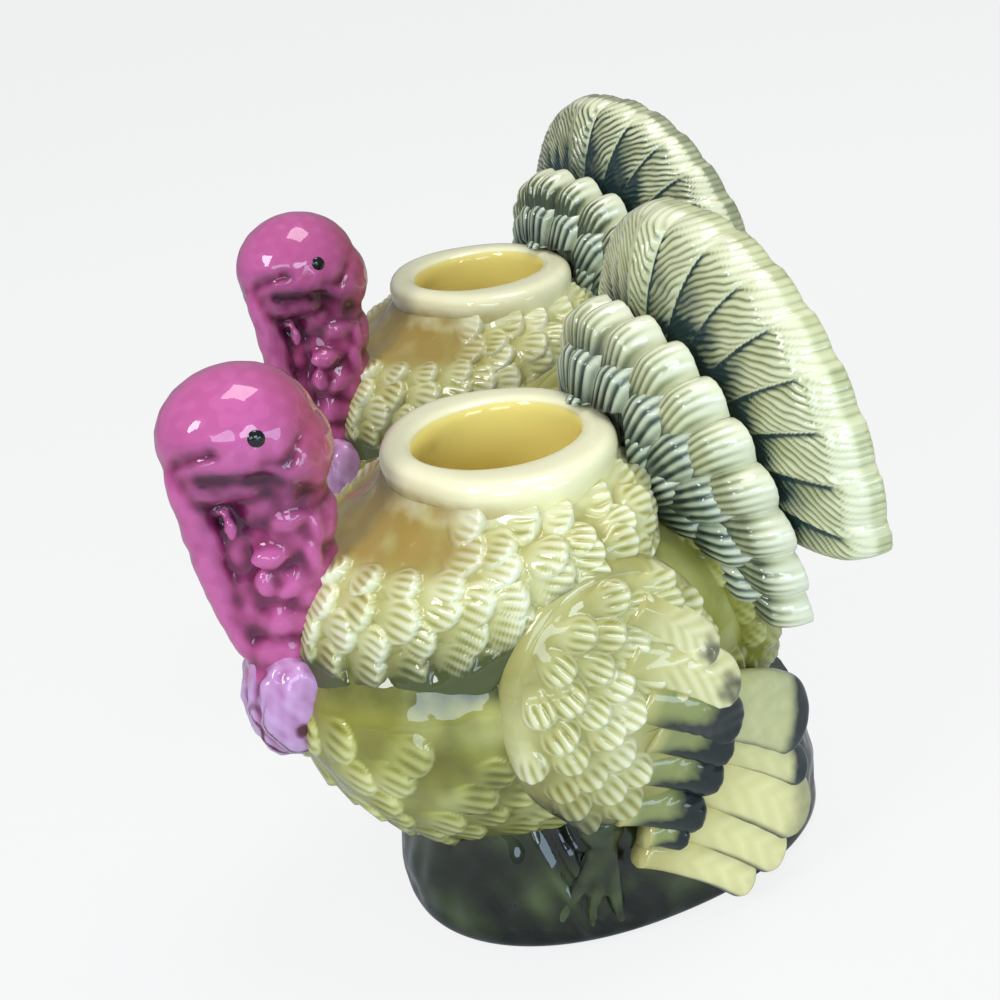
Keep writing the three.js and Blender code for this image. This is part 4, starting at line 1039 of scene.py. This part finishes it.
class TURKEY_OT_legs(bpy.types.Operator):
    """Cast the legs and toes in relief on the foot"""
    bl_idname = "turkey.legs"
    bl_label = "Legs"

    def execute(self, context):
        def wall_x(y):
            reach = FOOT_REACH[0] if y < FOOT_Y else FOOT_REACH[1]
            return FOOT_HALF * (1 - (abs(y - FOOT_Y) / reach) ** FOOT_SQUARE) ** (1 / FOOT_SQUARE)
        ankle_y, ankle_z = ANKLE_YZ
        balls = [(wall_x(ankle_y) - 1.9, ankle_y, ankle_z + 1.7, 2.6, 3.4, 3.2)]
        for lean in (-3, 14, 31):
            for k in range(12):
                d = TOE_LENGTH * k / 11
                y = ankle_y - d * math.sin(math.radians(lean))
                balls.append((wall_x(y) - 1.35, y, ankle_z - d * math.cos(math.radians(lean)), 1.75 - 0.08 * k))
        v, n, edges, q, t = pressed(balls, 0.4)
        left = closed_piece(v, q, t, pool=0.5 + 2.2 * hollowness(v, n, edges, 12), dark=0.35 + 0.3 * waves(v, 6, 75))
        cast_pair("leg", left, "glazed_earthenware_moss")
        return {"FINISHED"}


def facing(x, y, z, place):
    """A matrix from three directions and a place."""
    return Matrix([[x[i], y[i], z[i], place[i]] for i in range(3)] + [[0, 0, 0, 1]])


class TURKEY_OT_stage(bpy.types.Operator):
    """Set the table, the studio light and the camera of the photograph"""
    bl_idname = "turkey.stage"
    bl_label = "Stage"

    def execute(self, context):
        scene = context.scene
        mesh = bpy.data.meshes.new("table_top")
        far = TABLE_REACH
        mesh.from_pydata([(-far, -far, 0), (far, -far, 0), (far, far, 0), (-far, far, 0)], [], [(0, 1, 2, 3)])
        table = bpy.data.objects.new("table_top", mesh)
        scene.collection.objects.link(table)
        # Matt white paper gives a plain bright ground that fades to white, as behind the photographed pair
        mat = bpy.data.materials.new("pale_paper")
        tree = empty_tree(mat)
        paper = add(tree, "ShaderNodeBsdfDiffuse", {"Color": linear("#ced0d1")}).outputs[0]
        glow = add(tree, "ShaderNodeEmission", {"Color": linear("#ffffff"), "Strength": 1.0}).outputs[0]
        seen = add(tree, "ShaderNodeLightPath").outputs["Is Camera Ray"]
        share = add(tree, "ShaderNodeMath", {0: seen, 1: 0.84}, operation="MULTIPLY").outputs[0]
        both = add(tree, "ShaderNodeMixShader", {0: share, 1: paper, 2: glow}).outputs[0]
        add(tree, "ShaderNodeOutputMaterial", {0: both})
        mesh.materials.append(mat)
        world = bpy.data.worlds.new("studio")
        tree = empty_tree(world)
        room = add(tree, "ShaderNodeBackground", {"Color": linear("#e9f5ff"), "Strength": 0.3}).outputs[0]
        white = add(tree, "ShaderNodeBackground", {"Color": linear("#ffffff"), "Strength": 1.0}).outputs[0]
        seen = add(tree, "ShaderNodeLightPath").outputs["Is Camera Ray"]
        both = add(tree, "ShaderNodeMixShader", {0: seen, 1: room, 2: white}).outputs[0]
        add(tree, "ShaderNodeOutputWorld", {0: both})
        scene.world = world
        for name, place, size, power, colour in LAMPS:
            light = bpy.data.lights.new(name, "AREA")
            light.shape = "RECTANGLE"
            light.size, light.size_y = size
            light.energy = power
            light.color = linear(colour)[:3]
            lamp = bpy.data.objects.new(name, light)
            z = unit(np.array(place) - LAMP_AIM)
            x = unit(np.cross([0, 0, 1], z))
            lamp.matrix_world = facing(x, np.cross(z, x), z, place)
            scene.collection.objects.link(lamp)
        turn, pitch, roll = (math.radians(a) for a in CAMERA_TURN_PITCH_ROLL)
        level = np.array([math.cos(turn), math.sin(turn), 0])
        ahead = np.array([-math.sin(turn), math.cos(turn), 0])
        up = np.array([0, 0, 1.0])
        look = math.cos(pitch) * ahead - math.sin(pitch) * up
        lift = math.sin(pitch) * ahead + math.cos(pitch) * up
        right = math.cos(roll) * level + math.sin(roll) * lift
        top = -math.sin(roll) * level + math.cos(roll) * lift
        camera = bpy.data.objects.new("camera", bpy.data.cameras.new("camera"))
        camera.data.sensor_width = SENSOR
        camera.data.lens = SENSOR * FOCAL_SHARE
        camera.data.clip_start = 0.01
        camera.matrix_world = facing(right, top, -look, CAMERA_PLACE)
        scene.collection.objects.link(camera)
        scene.camera = camera
        scene.view_settings.view_transform = "Standard"
        return {"FINISHED"}


STEPS = [TURKEY_OT_stage, TURKEY_OT_cup, TURKEY_OT_mantle, TURKEY_OT_body, TURKEY_OT_rump, TURKEY_OT_tail_coverts,
         TURKEY_OT_tail_ring, TURKEY_OT_tail_fan, TURKEY_OT_wings, TURKEY_OT_wing_tips, TURKEY_OT_primaries,
         TURKEY_OT_head, TURKEY_OT_eyes, TURKEY_OT_foot, TURKEY_OT_legs]


class TURKEY_PT_panel(bpy.types.Panel):
    """Lists the steps of the casting"""
    bl_label = "Turkey Candle Holders"
    bl_idname = "TURKEY_PT_panel"
    bl_space_type = "VIEW_3D"
    bl_region_type = "UI"
    bl_category = "Turkeys"

    def draw(self, context):
        for group in (context.scene.turkey_sizes, context.scene.turkey_glazes):
            for name in group.bl_rna.properties.keys():
                if name not in ("rna_type", "name"):
                    self.layout.prop(group, name)
        for step in STEPS:
            self.layout.operator(step.bl_idname)


CLASSES = [TurkeySizes, TurkeyGlazes, *STEPS, TURKEY_PT_panel]


def register():
    for cls in CLASSES:
        bpy.utils.register_class(cls)
    bpy.types.Scene.turkey_sizes = bpy.props.PointerProperty(type=TurkeySizes)
    bpy.types.Scene.turkey_glazes = bpy.props.PointerProperty(type=TurkeyGlazes)


def unregister():
    del bpy.types.Scene.turkey_sizes
    del bpy.types.Scene.turkey_glazes
    for cls in reversed(CLASSES):
        bpy.utils.unregister_class(cls)


def main():
    register()
    for step in STEPS:
        group, name = step.bl_idname.split(".")
        getattr(getattr(bpy.ops, group), name)()


if __name__ == "__main__":
    main()
